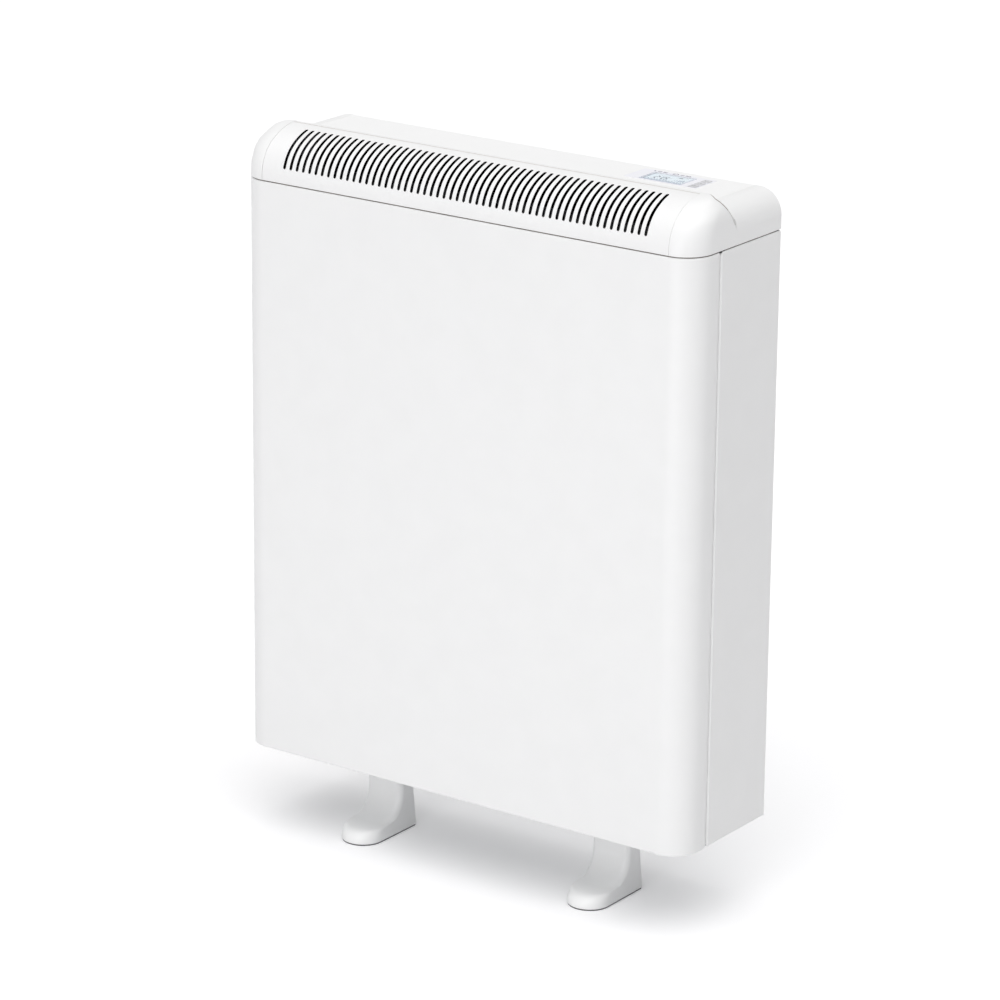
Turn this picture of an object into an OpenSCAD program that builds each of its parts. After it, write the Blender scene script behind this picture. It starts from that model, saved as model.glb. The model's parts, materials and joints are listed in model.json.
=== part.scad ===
// Wall-side storage heater on two feet: a brick core in insulation, inside a folded steel casing
// with a slotted bull-nosed outlet, moulded top ends, a control strip and an outlet damper.
// X runs along the width, Y from front (-) to back (+), Z up. The origin is on the floor,
// under the middle of the casing.

/* [Casing] */
// Width of the casing
body_w = 556; // [540:1:600]
// Depth of the casing, front to back
body_d = 155; // [152:1:170]
// Height of the casing's underside above the floor
under_z = 90; // [70:1:110]
// Height of the front panel, from the underside to the seam under the top
panel_h = 617; // [600:1:680]
// Outer radius of the casing's two front corners
corner_r = 31; // [26:0.5:36]
// Thickness of the painted steel sheet
sheet_t = 1; // [0.8:0.1:1.4]
// How far the front panel wraps back along each side
front_wrap = 47; // [42:1:56]
// Gap between the front panel's edge and the side panel's edge
joint_gap = 0.8; // [0.4:0.1:1.5]
// Gap between the panels and the top mouldings
seam_gap = 1.2; // [0.6:0.1:2]
// Width of the folded edges of the panels
fold_w = 8; // [5:1:9]
// Width of the front panel's bottom fold
sill_w = 4; // [3:0.5:5]
// Width of the side panels' bottom folds, which carry the base
ledge_w = 12; // [10:1:16]

/* [Top] */
// Height of the flat deck above the seam
deck_rise = 40; // [36:0.5:42]
// Height of the nose's crest above the seam
crest_rise = 51.2; // [50:0.1:55]
// Distance of the crest behind the front face
crest_set = 57.5; // [54:0.5:60]
// Height of the upright band above the seam
band_h = 4.5; // [2:0.5:6]
// Radius of the nose above the band
nose_r = 42; // [38:0.5:43]
// Slope of the nose's back face: run back per fall
back_slope = 0.64; // [0.5:0.01:0.7]
// Radius of the rear shoulder at each end of the deck
shoulder_r = 26; // [18:0.5:29]
// Radius of the nose's outer ends, seen from the front
end_r = 23.5; // [16:0.5:28]
// Width of each moulded top end
cap_w = 30; // [30:0.5:36]
// Wall of the moulded top ends
cap_wall = 2.5; // [2:0.1:3]
// Depth of the locating skirts below the seam
skirt_h = 10; // [6:1:14]
// Gap between the moulded ends and what lies between them
end_gap = 0.4; // [0.2:0.1:0.8]

/* [Outlet grille] */
// Number of slots
slot_n = 56; // [20:1:58]
// Distance from slot to slot
slot_pitch = 8; // [7:0.1:8]
// Width of a slot
slot_w = 3; // [2:0.1:4]
// Height of the slots' lower ends above the seam
slot_low = 15; // [10:0.5:20]
// Height of the slots' upper ends above the seam
slot_high = 49; // [44:0.5:49.5]
// Wall of the grille
grille_wall = 2; // [1.5:0.1:2.5]

/* [Control strip] */
// Distance of the label's right edge from the end of the deck
label_side = 38; // [10:0.2:60]
// Distance of the label's rear edge from the back
label_back = 12.5; // [11:0.5:16]
// Margin of the label to the left of the window
window_side = 18; // [4:0.5:24]
// Margin of the label in front of the window
window_front = 4; // [3:0.5:8]
// Gap between the window and the keys
key_gap = 10.5; // [6:0.5:14]
// Margin of the label to the right of the keys
key_side = 1.5; // [1:0.1:4]
// Margin of the label in front of the keys
key_front = 0.5; // [0.5:0.1:4]
// Margin of the label behind the keys
key_rear = 5.5; // [1:0.5:9]
// Thickness of the label
label_t = 0.5; // [0.3:0.1:0.8]
// Width of the display window
window_w = 46; // [36:1:48]
// Depth of the display window
window_d = 26; // [20:1:28]
// Side of a square key
key_s = 9; // [7:0.1:9.5]
// Distance from key to key
key_pitch = 11.5; // [11:0.1:12]
// How far a key stands above the label
key_proud = 0.6; // [0.4:0.1:1]
// How far a key travels when it is pressed
key_travel = 0.6; // [0.3:0.1:0.7]
// Clearance around each key and around the window
key_fit = 0.3; // [0.2:0.05:0.4]
// Depth of the control housing below the deck
housing_h = 20; // [18:1:26]

/* [Core] */
// Radius of the heating elements
element_r = 4.25; // [3:0.05:5]
// Distance between an element's two legs
leg_pitch = 70; // [50:1:80]
// Clearance between an element and its groove
groove_fit = 0.3; // [0.2:0.05:0.6]
// Width of the air channels in the bricks
channel_w = 24; // [16:1:30]
// Depth of an air channel in each brick
channel_d = 8; // [5:0.5:10]
// Thickness of the insulation in front of the core
front_slab_t = 22; // [18:0.5:24]
// Thickness of the insulation behind the core
rear_slab_t = 27; // [18:0.5:32]
// Thickness of the insulation at each end of the core
side_slab_t = 30; // [20:1:36]
// Thickness of the insulating board under the core
base_slab_t = 20; // [12:1:26]
// Thickness of the insulation above the core
top_slab_t = 30; // [20:1:34]
// Air gap between the front panel and the core's case
air_gap = 12; // [10:0.5:14]
// Width of the wiring space at the right-hand end
wiring_w = 81; // [70:1:90]
// Width of the air space at the left-hand end
left_gap = 51; // [30:1:70]
// Height of the air space from the lid of the core's case to the seam
top_room = 57.5; // [50:0.5:70]
// Height of the tray that carries the core above the base
tray_h = 27.3; // [20:0.1:34]

/* [Damper] */
// Radius of the damper's shaft
shaft_r = 3; // [2.5:0.1:4]
// Running clearance between the shaft and its bushes
shaft_fit = 0.06; // [0.02:0.01:0.1]
// Thickness of the flap
flap_t = 1.2; // [0.8:0.1:1.6]
// Height of the lip round the core's outlet
lip_h = 2; // [1.5:0.1:3]
// Radius of the damper's motor
motor_r = 21; // [16:0.5:23]

/* [Feet] */
// Distance of each foot's middle from the middle of the heater
foot_x = 145; // [110:1:180]
// Width of a foot
foot_w = 46; // [40:1:52]
// Distance of the toe's tip in front of the middle
toe_y = 65; // [55:1:75]
// Distance of the heel behind the middle
heel_y = 23; // [20:1:30]
// Distance of the column's front face in front of the middle
column_front = 6; // [4:0.5:10]
// Distance of the column's rear face behind the middle
column_back = 17; // [15:0.5:20]
// Height of the toe
toe_h = 14; // [10:0.5:18]
// Radius of the sweep from the column to the toe
sweep_r = 24; // [18:0.5:30]
// Radius of the column's upright corners
column_r = 6; // [3:0.5:8]
// Thickness of the rubber sole
sole_t = 1.5; // [1:0.1:3]

/* [Hidden] */
$fn = 64;

// Overshoot of a cutting tool beyond the face it cuts
over = 1;
// Clearance between flat neighbours that only locate each other
seat = 0.3;

// Casing planes
front_y = -body_d / 2;
back_y = body_d / 2;
half_w = body_w / 2;
skin_x = half_w - sheet_t;
joint_y = front_y + front_wrap;
corner_x = half_w - corner_r;
corner_y = front_y + corner_r;
seam_z = under_z + panel_h;
panel_top = seam_z - seam_gap;
panel_rise = panel_top - under_z;
deck_z = seam_z + deck_rise;
deck_under = deck_z - sheet_t;
rear_out = back_y - sheet_t;
rear_in = rear_out - sheet_t;
tab_w = 20;
tab_reach = 13;
base_t = 1.2;
base_z0 = under_z + sheet_t;
base_z1 = base_z0 + base_t;
fold_rear = 12;
fold_z = base_z1 + seat;
base_screw_r = 2;
base_screw_l = 8;
base_head_h = 1.8;
ledge_screw_set = 18;
screw_clear = 0.15;
inlet_w = 40;
inlet_d = 3.5;
inlet_pitch = 60;
wall_hole_r = 4;
wall_hole_x = 150;
wall_hole_z = seam_z - 17;

// Nose: an arc above the band, then a flatter arc tangent to it that ends level at the crest.
// The angle where they meet is rounded, so that both arcs end on one plane.
crest_y = front_y + crest_set;
crest_z = seam_z + crest_rise;
nose_run = crest_set - nose_r;
nose_lift = crest_rise - band_h;
brow_r = (nose_run * nose_run + nose_lift * nose_lift - nose_r * nose_r) / (2 * (nose_lift - nose_r));
brow_angle = round(1000 * atan2(brow_r - nose_lift, nose_run)) / 1000;
nose_cy = front_y + nose_r;
nose_cz = seam_z + band_h;
brow_cz = crest_z - brow_r;
crest_land = 1;

// Moulded ends
cap_x = half_w - cap_w;
mid_x = cap_x - end_gap;
cap_levels = 16;
cap_steps = 10;
skirt_t = 2.5;

// Grille
ledge_d = 9;
slot_reach = 34;

// Core, from the right-hand end and the front inwards
case_y0 = front_y + sheet_t + air_gap;
case_y1 = case_y0 + sheet_t;
core_y0 = case_y1 + front_slab_t;
core_y1 = rear_in - rear_slab_t;
case_x0 = left_gap - skin_x;
case_x1 = skin_x - wiring_w;
core_x0 = case_x0 + sheet_t + side_slab_t;
core_x1 = case_x1 - sheet_t - side_slab_t;
tray_z = base_z1 + tray_h;
tray_t = 1.5;
core_z0 = tray_z + base_slab_t;
lid_z0 = seam_z - top_room;
lid_t = 1.2;
lid_z1 = lid_z0 + lid_t;
core_z1 = lid_z0 - top_slab_t;
partition_z = panel_top - 4.3;

// The bricks fill the core: two columns, three rows and two layers
brick_w = (core_x1 - core_x0) / 2;
brick_h = (core_z1 - core_z0) / 3;
brick_d = (core_y1 - core_y0) / 2;
core_mid = core_y0 + brick_d;
groove_r = element_r + groove_fit;
bend_x = core_x0 + 20 + leg_pitch / 2;
element_x1 = case_x1 + 16;
stud_r = 2;
stud_h = 8;
bush_r = element_r + 1.65;
bush_flange_r = element_r + 3.75;
bush_h = 3;
sensor_r = 3;
sensor_x0 = core_x1 - 40;
sensor_x1 = case_x1 + 6;
sensor_z = core_z0 + 1.5 * brick_h;
wiring_x = (case_x1 + skin_x) / 2;

// Boost element in the front air gap
boost_r = 3;
boost_z = base_z1 + 20;
boost_pitch = 30;
boost_y = front_y + sheet_t + air_gap / 2;
boost_x0 = case_x0 + 46;
boost_x1 = case_x1 + 8;
boost_turn = 10;
boost_tail = 14;
clip_w = 4;
clip_lap = 8;
clip_mid = (boost_x0 + boost_x1) / 2;
clip_pitch = (boost_x1 - boost_x0) * 0.39;

// Outlet of the core and its damper
duct_x0 = core_x0 + brick_w / 4 - channel_w / 2 - 5;
duct_x1 = core_x1 - brick_w / 4 + channel_w / 2 + 5;
duct_y0 = core_mid - channel_d - 4;
duct_y1 = core_mid + channel_d + 4;
lip_t = 1.2;
hub_r = shaft_r + 1.5;
shaft_y = duct_y1 + lip_t + hub_r + 0.8;
flap_z = lid_z1 + lip_h + seat;
shaft_z = flap_z + flap_t + shaft_r;
bracket_gap = 3.8;
bracket_t = 1.2;
bracket_x0 = duct_x0 - bracket_gap - bracket_t;
bracket_x1 = duct_x1 + bracket_gap + bracket_t;
damper_bush_r = shaft_r + 1.5;
shaft_end = case_x1 + 9;
motor_h = 22;
plug_h = 5;

// Control strip
label_top = deck_z + label_t;
label_w = window_side + window_w + key_gap + key_s + key_side;
label_d = key_front + key_s + 2 * key_pitch + key_rear;
label_x = mid_x - label_side - label_w;
label_y = back_y - label_back - label_d;
window_x = label_x + window_side;
window_y = label_y + window_front;
key_x = window_x + window_w + key_gap + key_s / 2;
key_y = label_y + key_front + key_s / 2;
key_flange = 0.8;
key_flange_w = key_s + 1.8;
key_flange_top = deck_under - seat;
housing_x0 = label_x - 5;
housing_x1 = label_x + label_w + 5;
housing_y0 = label_y - 5;
housing_y1 = label_y + label_d + 5;
housing_z0 = deck_under - housing_h;
housing_wall = 2;
board_t = 1.6;
board_z = housing_z0 + 8;
plunger_h = 1.8;
switch_play = 0.2;
switch_top = key_flange_top - key_flange - plunger_h - key_travel - switch_play;

// Feet
heel_lean = 45;
sweep_z = sole_t + toe_h + sweep_r;
foot_top = base_z0;
foot_levels = 8;
foot_steps = 6;
foot_screw_r = 3;
foot_screw_y = (column_back - column_front) / 2;
foot_screw_dx = 12;
foot_screw_depth = 32;

// Wiring space: power board on its pillars
board_x = case_x1 + 10;
power_h = 170;
power_d = 48.5;
power_z = core_z1 - power_h - 20;
power_y = rear_in - 5 - power_d;
relay_w = 26;
relay_h = 20;
relay_pitch = 26;
relay_rise = 15;
coil_w = 32;
coil_rise = 24;
capacitor_r = 5;
capacitor_rise = 16;
pillar_r = 3;
pillar_set = 5;

// Wiring space: terminals, cable entry, loom and sensors
terminal_z = base_z1 + 38;
terminal_h = 30;
terminal_w = 40;
terminal_y = rear_in - 53.5;
terminal_d = 22;
terminal_r = 2.2;
terminal_pitch = 10;
grommet_z = base_z1 + 53;
grommet_r = 8;
grommet_lip = 3;
grommet_lip_t = 2.5;
cable_r = 5;
loom_r = 4;
wire_r = 2;
loom_x = board_x + board_t + coil_rise + loom_r + 5.4;
loom_y = rear_in - 30.5;
cutout_r = 9;
cutout_y = case_y1 + 27.5;
blade_w = 6;
bead_x = skin_x - 27;
bead_y = case_y1 + 29.5;
bead_r = 3;

WHITE = "#f2f2f2";
CAP_WHITE = "#fafafa";
ZINC = "#b9bdc0";
BRICK = "#5a4a44";
WOOL = "#d9d2c0";
STEEL = "#8f9296";

// ---------- General shapes ----------

// Box between two opposite corners
module block(a, b) {
    translate(a) cube([b[0] - a[0], b[1] - a[1], b[2] - a[2]]);
}

// Profile drawn as (y, z), drawn out along X from x0 to x1
module along_x(x0, x1) {
    translate([x0, 0, 0]) rotate([90, 0, 90]) linear_extrude(x1 - x0) children();
}

// Round bar along X
module bar_x(r, x0, x1, y, z) {
    translate([x0, y, z]) rotate([0, 90, 0]) cylinder(h = x1 - x0, r = r);
}

// Round bar along Y
module bar_y(r, y0, y1, x, z) {
    translate([x, y1, z]) rotate([90, 0, 0]) cylinder(h = y1 - y0, r = r);
}

// Part of a tube wall about an axis along X, from one angle to another above the +Y direction
module arc_x(r_in, r_out, x0, x1, y, z, start, turn) {
    translate([x0, y, z]) rotate([90, 0, 90])
        rotate_extrude(angle = turn, start = start)
            translate([r_in, 0]) square([r_out - r_in, x1 - x0]);
}

// Closed solid through rings of points, from the lowest ring to the highest
module loft(rings) {
    n = len(rings[0]);
    m = len(rings);
    points = [for (ring = rings) for (p = ring) p];
    sides = [
        for (i = [0:m - 2]) for (j = [0:n - 1]) let (k = (j + 1) % n)
            each [
                [i * n + j, (i + 1) * n + j, (i + 1) * n + k],
                [i * n + j, (i + 1) * n + k, i * n + k]
            ]
    ];
    bottom = [[for (j = [0:n - 1]) j]];
    top = [[for (j = [0:n - 1]) m * n - 1 - j]];
    polyhedron(points = points, faces = concat(sides, bottom, top), convexity = 4);
}

// The same piece at the left-hand end
module at_left() {
    mirror([1, 0, 0]) children();
}

// ---------- Casing ----------

// Folded front panel: flat front, two rounded corners, two returns and the folds on its edges
module front_panel() {
    color(WHITE) difference() {
        union() {
            block([-corner_x, front_y, under_z], [corner_x, front_y + sheet_t, panel_top]);
            block([-corner_x, front_y + sheet_t, under_z], [corner_x, front_y + sheet_t + sill_w, base_z0]);
            for (side = [-1, 1]) {
                tab_x = side * wiring_x;
                block(
                    [tab_x - tab_w / 2, front_y + sheet_t + sill_w, under_z],
                    [tab_x + tab_w / 2, case_y0 + tab_reach, base_z0]
                );
            }
            front_return();
            at_left() front_return();
        }
        base_screw_holes();
    }
}

module front_return() {
    translate([corner_x, corner_y, under_z])
        rotate_extrude(angle = 90, start = 270)
            translate([corner_r - sheet_t, 0]) square([sheet_t, panel_rise]);
    block([skin_x, corner_y, under_z], [half_w, joint_y, panel_top]);
    block([skin_x - fold_w, joint_y - sheet_t, fold_z], [skin_x, joint_y, panel_top]);
}

// Flat side panel with a fold on its front, rear and bottom edges
module side_panel() {
    y0 = joint_y + joint_gap;
    color(WHITE) difference() {
        union() {
            block([skin_x, y0, under_z], [half_w, back_y, panel_top]);
            block([skin_x - fold_w, y0, fold_z], [skin_x, y0 + sheet_t, panel_top]);
            block([skin_x - fold_rear, rear_out, under_z], [skin_x, back_y, panel_top]);
            block([skin_x - ledge_w, y0 + sheet_t, under_z], [skin_x, rear_out, base_z0]);
        }
        base_screw_holes();
    }
}

module left_side_panel() {
    at_left() side_panel();
}

module right_side_panel() {
    side_panel();
}

// Zinc-coated rear panel, with the two wall-fixing holes and the cable hole
module rear_panel() {
    color(ZINC) difference() {
        union() {
            block([seat - skin_x, rear_in, base_z0], [skin_x - seat, rear_out, panel_top - seat]);
            block([-mid_x, rear_in, panel_top - seat], [mid_x, rear_out, deck_under]);
        }
        for (side = [-1, 1])
            bar_y(wall_hole_r, rear_in - over, rear_out + over, side * wall_hole_x, wall_hole_z);
        bar_y(grommet_r, rear_in - over, rear_out + over, wiring_x, grommet_z);
    }
}

// Points of the screws that hold the panels' folds to the base
function base_screw_points() = [
    for (side = [-1, 1]) each [
        [side * wiring_x, case_y0 + tab_reach / 2],
        [side * (skin_x - ledge_w / 2), joint_y + ledge_screw_set],
        [side * (skin_x - ledge_w / 2), back_y - ledge_screw_set]
    ]
];

// Round hole down through something between two heights
module drill(p, r, z0, z1) {
    translate([p[0], p[1], z0 - over]) cylinder(h = z1 - z0 + 2 * over, r = r);
}

module base_screw_holes() {
    for (p = base_screw_points()) drill(p, base_screw_r + screw_clear, under_z, base_z1);
}

module base_screws() {
    color(STEEL) for (p = base_screw_points()) translate([p[0], p[1], under_z]) {
        translate([0, 0, -base_head_h]) cylinder(h = base_head_h, r = base_screw_r * 1.9);
        cylinder(h = base_screw_l, r = base_screw_r);
    }
}

// Half of the base plate, with its front corner inside the panel's rounded corner
module base_half() {
    block([0, corner_y, base_z0], [skin_x - seat, rear_in, base_z1]);
    block([0, front_y + sheet_t + seat, base_z0], [corner_x, corner_y, base_z1]);
    translate([corner_x, corner_y, base_z0])
        rotate_extrude(angle = 90, start = 270) square([corner_r - sheet_t - seat, base_t]);
}

// Base plate with rows of air inlets
module base_plate() {
    color(ZINC) difference() {
        union() {
            base_half();
            at_left() base_half();
        }
        block([-half_w, front_y, base_z0 - over], [half_w, case_y0, base_z1 + over]);
        base_screw_holes();
        for (p = foot_screw_points()) drill(p, foot_screw_r + screw_clear, base_z0, base_z1);
        for (i = [-3:3]) for (y = [core_y0 + 4, core_y0 + 12, core_mid + 20, core_mid + 28])
            block(
                [i * inlet_pitch - inlet_w / 2, y, base_z0 - over],
                [i * inlet_pitch + inlet_w / 2, y + inlet_d, base_z1 + over]
            );
    }
}

// ---------- Top ----------

// Depth position of the nose's face at a height above the seam, set back by a wall
function nose_face(h, wall) =
    let (join = band_h + (nose_r - wall) * sin(brow_angle))
    h <= band_h ? front_y + wall
    : h <= join ? nose_cy - sqrt(max(0, pow(nose_r - wall, 2) - pow(h - band_h, 2)))
    : crest_y - sqrt(max(0, pow(brow_r - wall, 2) - pow(h + seam_z - brow_cz, 2)));

// Side position of a nose end at a height above the seam, set in by a wall
function nose_side(h, wall) =
    let (rise = h - (crest_rise - end_r))
    half_w - end_r + (rise <= 0 ? end_r - wall : sqrt(max(0, pow(end_r - wall, 2) - rise * rise)));

// Back face of the nose at a height above the seam
function nose_back(h, wall) = crest_y + crest_land - wall + (crest_rise - h) * back_slope;

// Ring round a nose end at one height: front face, swept corner, side and back
function nose_ring(h, wall, x0) =
    let (
        yf = nose_face(h, wall),
        xs = nose_side(h, wall),
        yb = nose_back(h, wall),
        rx = xs - cap_x,
        ry = min(corner_r - wall, (yb - yf) * 0.95)
    )
    concat(
        [[x0, yf, seam_z + h]],
        [for (j = [1:cap_steps]) let (a = 90 * j / cap_steps)
            [cap_x + rx * sin(a), yf + ry * (1 - cos(a)), seam_z + h]],
        [[xs, yb, seam_z + h], [x0, yb, seam_z + h]]
    );

// Rounded end of the nose as a solid, set in by a wall
module nose_end(wall, x0, h0) {
    top = crest_rise - wall;
    heights = concat([h0], [for (i = [0:cap_levels]) band_h + (top - band_h) * sin(90 * i / cap_levels)]);
    loft([for (h = heights) nose_ring(h, wall, x0)]);
}

// Rear shoulder of a moulded end as a solid, set in by a wall
module shoulder(wall, x0, z0) {
    y0 = crest_y - 5;
    y1 = back_y - wall;
    cx = half_w - shoulder_r;
    cz = deck_z - shoulder_r;
    block([x0, y0, z0], [half_w - wall, y1, cz]);
    block([x0, y0, cz], [cx, y1, deck_z - wall]);
    translate([cx, y1, cz]) rotate([90, 0, 0])
        rotate_extrude(angle = 90) square([shoulder_r - wall, y1 - y0]);
}

// Moulded top end: the nose's rounded end and the rear shoulder in one shell, open below
module end_cap() {
    color(CAP_WHITE) union() {
        difference() {
            union() {
                nose_end(0, cap_x, 0);
                shoulder(0, cap_x, seam_z);
            }
            nose_end(cap_wall, cap_x - over, -over);
            shoulder(cap_wall, cap_x - over, seam_z - over);
        }
        x1 = skin_x - seat;
        block([x1 - skirt_t, joint_y + fold_w, seam_z - skirt_h], [x1, rear_in - 6, seam_z + 2]);
    }
}

module left_end_cap() {
    at_left() end_cap();
}

module right_end_cap() {
    end_cap();
}

// Slotted outlet grille: band, nose, brow, back face and the ledge that carries the deck
module outlet_grille() {
    wall = grille_wall;
    turn = brow_angle;
    color(CAP_WHITE) difference() {
        union() {
            block([-mid_x, front_y, seam_z], [mid_x, front_y + wall, nose_cz]);
            arc_x(nose_r - wall, nose_r, -mid_x, mid_x, nose_cy, nose_cz, 180 - turn, turn);
            arc_x(brow_r - wall, brow_r, -mid_x, mid_x, crest_y, brow_cz, 90, 90 - turn);
            along_x(-mid_x, mid_x) grille_back();
            y1 = front_y + sheet_t + seat;
            block([10 - mid_x, y1, seam_z - skirt_h], [mid_x - 10, y1 + wall, seam_z + 2]);
        }
        slots();
    }
}

// Section of the grille's back face and ledge
module grille_back() {
    wall = grille_wall;
    foot_y = nose_back(deck_rise - sheet_t, 0);
    ledge_z = deck_under - wall;
    polygon([
        [crest_y, crest_z],
        [crest_y + crest_land, crest_z],
        [foot_y, deck_under],
        [foot_y + ledge_d, deck_under],
        [foot_y + ledge_d, ledge_z],
        [foot_y - wall * 1.2, ledge_z],
        [crest_y, crest_z - wall]
    ]);
}

// Row of round-ended slots, cut square to the middle of the nose
module slots() {
    low = (nose_face(slot_low, 0) - front_y + slot_low) / sqrt(2);
    high = (nose_face(slot_high, 0) - front_y + slot_high) / sqrt(2);
    r = slot_w / 2;
    translate([0, front_y, seam_z]) rotate([45, 0, 0]) translate([0, 0, over])
        linear_extrude(slot_reach) for (i = [0:slot_n - 1]) {
            x = (i - (slot_n - 1) / 2) * slot_pitch;
            translate([x - r, low + r]) square([slot_w, high - low - slot_w]);
            translate([x, low + r]) circle(r);
            translate([x, high - r]) circle(r);
        }
}

// Flat deck between the moulded ends, with the openings for the window and keys
module top_panel() {
    y0 = nose_back(deck_rise - sheet_t, 0) + end_gap;
    color(WHITE) difference() {
        union() {
            block([-mid_x, y0, deck_under], [mid_x, back_y, deck_z]);
            block([-mid_x, rear_out, seam_z], [mid_x, back_y, deck_under]);
        }
        strip_openings(deck_under - over, deck_z + over);
    }
}

// Openings for the window and the three keys between two heights
module strip_openings(z0, z1) {
    f = key_fit;
    block([window_x - f, window_y - f, z0], [window_x + window_w + f, window_y + window_d + f, z1]);
    for (k = [0:2]) {
        y = key_y + k * key_pitch;
        r = key_s / 2 + f;
        block([key_x - r, y - r, z0], [key_x + r, y + r, z1]);
    }
}

// ---------- Control strip ----------

module control_label() {
    color("#e6e6f0") difference() {
        block([label_x, label_y, deck_z], [label_x + label_w, label_y + label_d, label_top]);
        strip_openings(deck_z - over, label_top + over);
    }
}

// Clear window with a flange that holds it under the deck
module display_window() {
    x1 = window_x + window_w;
    y1 = window_y + window_d;
    z0 = key_flange_top - key_flange;
    color("#bcd3e8") union() {
        block([window_x, window_y, key_flange_top], [x1, y1, label_top]);
        block([window_x - 2, window_y - 2, z0], [x1 + 2, y1 + 2, key_flange_top]);
    }
}

// One key: cap, flange under the deck and plunger
module key(k) {
    y = key_y + k * key_pitch;
    r = key_s / 2;
    f = key_flange_w / 2;
    z0 = key_flange_top - key_flange;
    color("#77777d") translate([key_x, y, 0]) {
        block([-r, -r, key_flange_top], [r, r, label_top + key_proud]);
        block([-f, -f, z0], [f, f, key_flange_top]);
        translate([0, 0, z0 - plunger_h]) cylinder(h = plunger_h, r = 2);
    }
}

module menu_key() {
    key(0);
}

module up_key() {
    key(1);
}

module down_key() {
    key(2);
}

// Open-topped housing that hangs under the deck, with posts for the board
module control_housing() {
    w = housing_wall;
    color("#dcdcdc") union() {
        difference() {
            block([housing_x0, housing_y0, housing_z0], [housing_x1, housing_y1, deck_under]);
            block(
                [housing_x0 + w, housing_y0 + w, housing_z0 + w],
                [housing_x1 - w, housing_y1 - w, deck_under + over]
            );
        }
        for (x = [housing_x0 + 8, housing_x1 - 8]) for (y = [housing_y0 + 8, housing_y1 - 8])
            translate([x, y, housing_z0 + w]) cylinder(h = board_z - housing_z0 - w, r = 3);
    }
}

// Board with the three key switches
module display_board() {
    w = housing_wall + 0.5;
    z1 = board_z + board_t;
    color("#2f6b3a") union() {
        block([housing_x0 + w, housing_y0 + w, board_z], [housing_x1 - w, housing_y1 - w, z1]);
        for (k = [0:2]) translate([key_x, key_y + k * key_pitch, z1]) {
            block([-3, -3, 0], [3, 3, 3.5]);
            cylinder(h = switch_top - z1, r = 1.7);
        }
    }
}

module display_module() {
    z1 = key_flange_top - key_flange - seat;
    color("#a9c4de") block(
        [window_x - 2, window_y - 1.5, board_z + board_t],
        [window_x + window_w + 1, window_y + window_d + 1.5, z1]
    );
}

// ---------- Feet ----------

// Front face of a foot at a height: rounded toe, top of the toe, sweep, column
function foot_front(z) =
    let (h = z - sole_t, sweep_y = -column_front - sweep_r)
    h <= toe_h ? -toe_y + toe_h - sqrt(max(0, toe_h * toe_h - h * h))
    : z < sweep_z ? sweep_y + sqrt(max(0, sweep_r * sweep_r - pow(sweep_z - z, 2)))
    : -column_front;

function foot_rear(z) = z < heel_lean ? heel_y + (column_back - heel_y) * z / heel_lean : column_back;

// Ring round a foot: front face yf, with front corners that open out towards the toe
function foot_ring(z, yf) =
    let (
        t = min(1, max(0, (-column_front - yf) / (toe_y - column_front))),
        rx = column_r + (foot_w / 2 - 0.1 - column_r) * t,
        ry = column_r + (foot_w / 2 - column_r) * t,
        yb = foot_rear(z),
        rb = 3,
        w = foot_w / 2
    )
    concat(
        [for (j = [0:foot_steps]) let (a = 90 * j / foot_steps)
            [w - rx + rx * sin(a), yf + ry - ry * cos(a), z]],
        [for (j = [0:2]) let (a = 45 * j) [w - rb + rb * cos(a), yb - rb + rb * sin(a), z]],
        [for (j = [0:2]) let (a = 45 * j) [-w + rb - rb * sin(a), yb - rb + rb * cos(a), z]],
        [for (j = [0:foot_steps]) let (a = 90 * j / foot_steps)
            [-w + rx - rx * cos(a), yf + ry - ry * sin(a), z]]
    );

// Heights and front faces of a foot's rings, close together where the outline turns
function foot_stations() =
    let (sweep_y = -column_front - sweep_r, tip_y = -toe_y + toe_h)
    concat(
        [for (i = [0:foot_levels]) let (z = sole_t + toe_h * sin(90 * i / foot_levels)) [z, foot_front(z)]],
        [for (i = [1:3]) [sole_t + toe_h + 0.3 * i, tip_y + (sweep_y - tip_y) * i / 4]],
        [for (i = [0:foot_levels]) let (a = 90 * i / foot_levels)
            [sweep_z - sweep_r * cos(a) + 1.5 * (1 - i / foot_levels), sweep_y + sweep_r * sin(a)]],
        [[foot_top, -column_front]]
    );

module foot() {
    color(CAP_WHITE) difference() {
        translate([foot_x, 0, 0]) loft([for (s = foot_stations()) foot_ring(s[0], s[1])]);
        for (p = foot_screw_points()) translate([p[0], p[1], foot_top - foot_screw_depth])
            cylinder(h = foot_screw_depth + over, r = foot_screw_r + screw_clear);
    }
}

module left_foot() {
    at_left() foot();
}

module right_foot() {
    foot();
}

// Rubber soles, set in a little from the feet's outlines
module foot_soles() {
    inset = 0.6;
    ring = foot_ring(sole_t, foot_front(sole_t));
    middle = (heel_y - toe_y) / 2;
    color("#3a3a3c") for (side = [-1, 1]) translate([side * foot_x, middle, 0])
        linear_extrude(sole_t) polygon([
            for (p = ring) [
                p[0] * (1 - 2 * inset / foot_w),
                (p[1] - middle) * (1 - 2 * inset / (heel_y + toe_y))
            ]
        ]);
}

function foot_screw_points() = [
    for (side = [-1, 1]) for (d = [-1, 1]) [side * foot_x + d * foot_screw_dx, foot_screw_y]
];

module foot_screws() {
    length = foot_screw_depth - 2;
    color(STEEL) for (p = foot_screw_points()) translate([p[0], p[1], 0]) {
        translate([0, 0, base_z1]) cylinder(h = 4, r = foot_screw_r * 1.6);
        translate([0, 0, foot_top - length]) cylinder(h = length + base_t, r = foot_screw_r);
    }
}

// ---------- Core ----------

// Height of the middle of a row of bricks
function row_z(row) = core_z0 + (row + 0.5) * brick_h;

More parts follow.
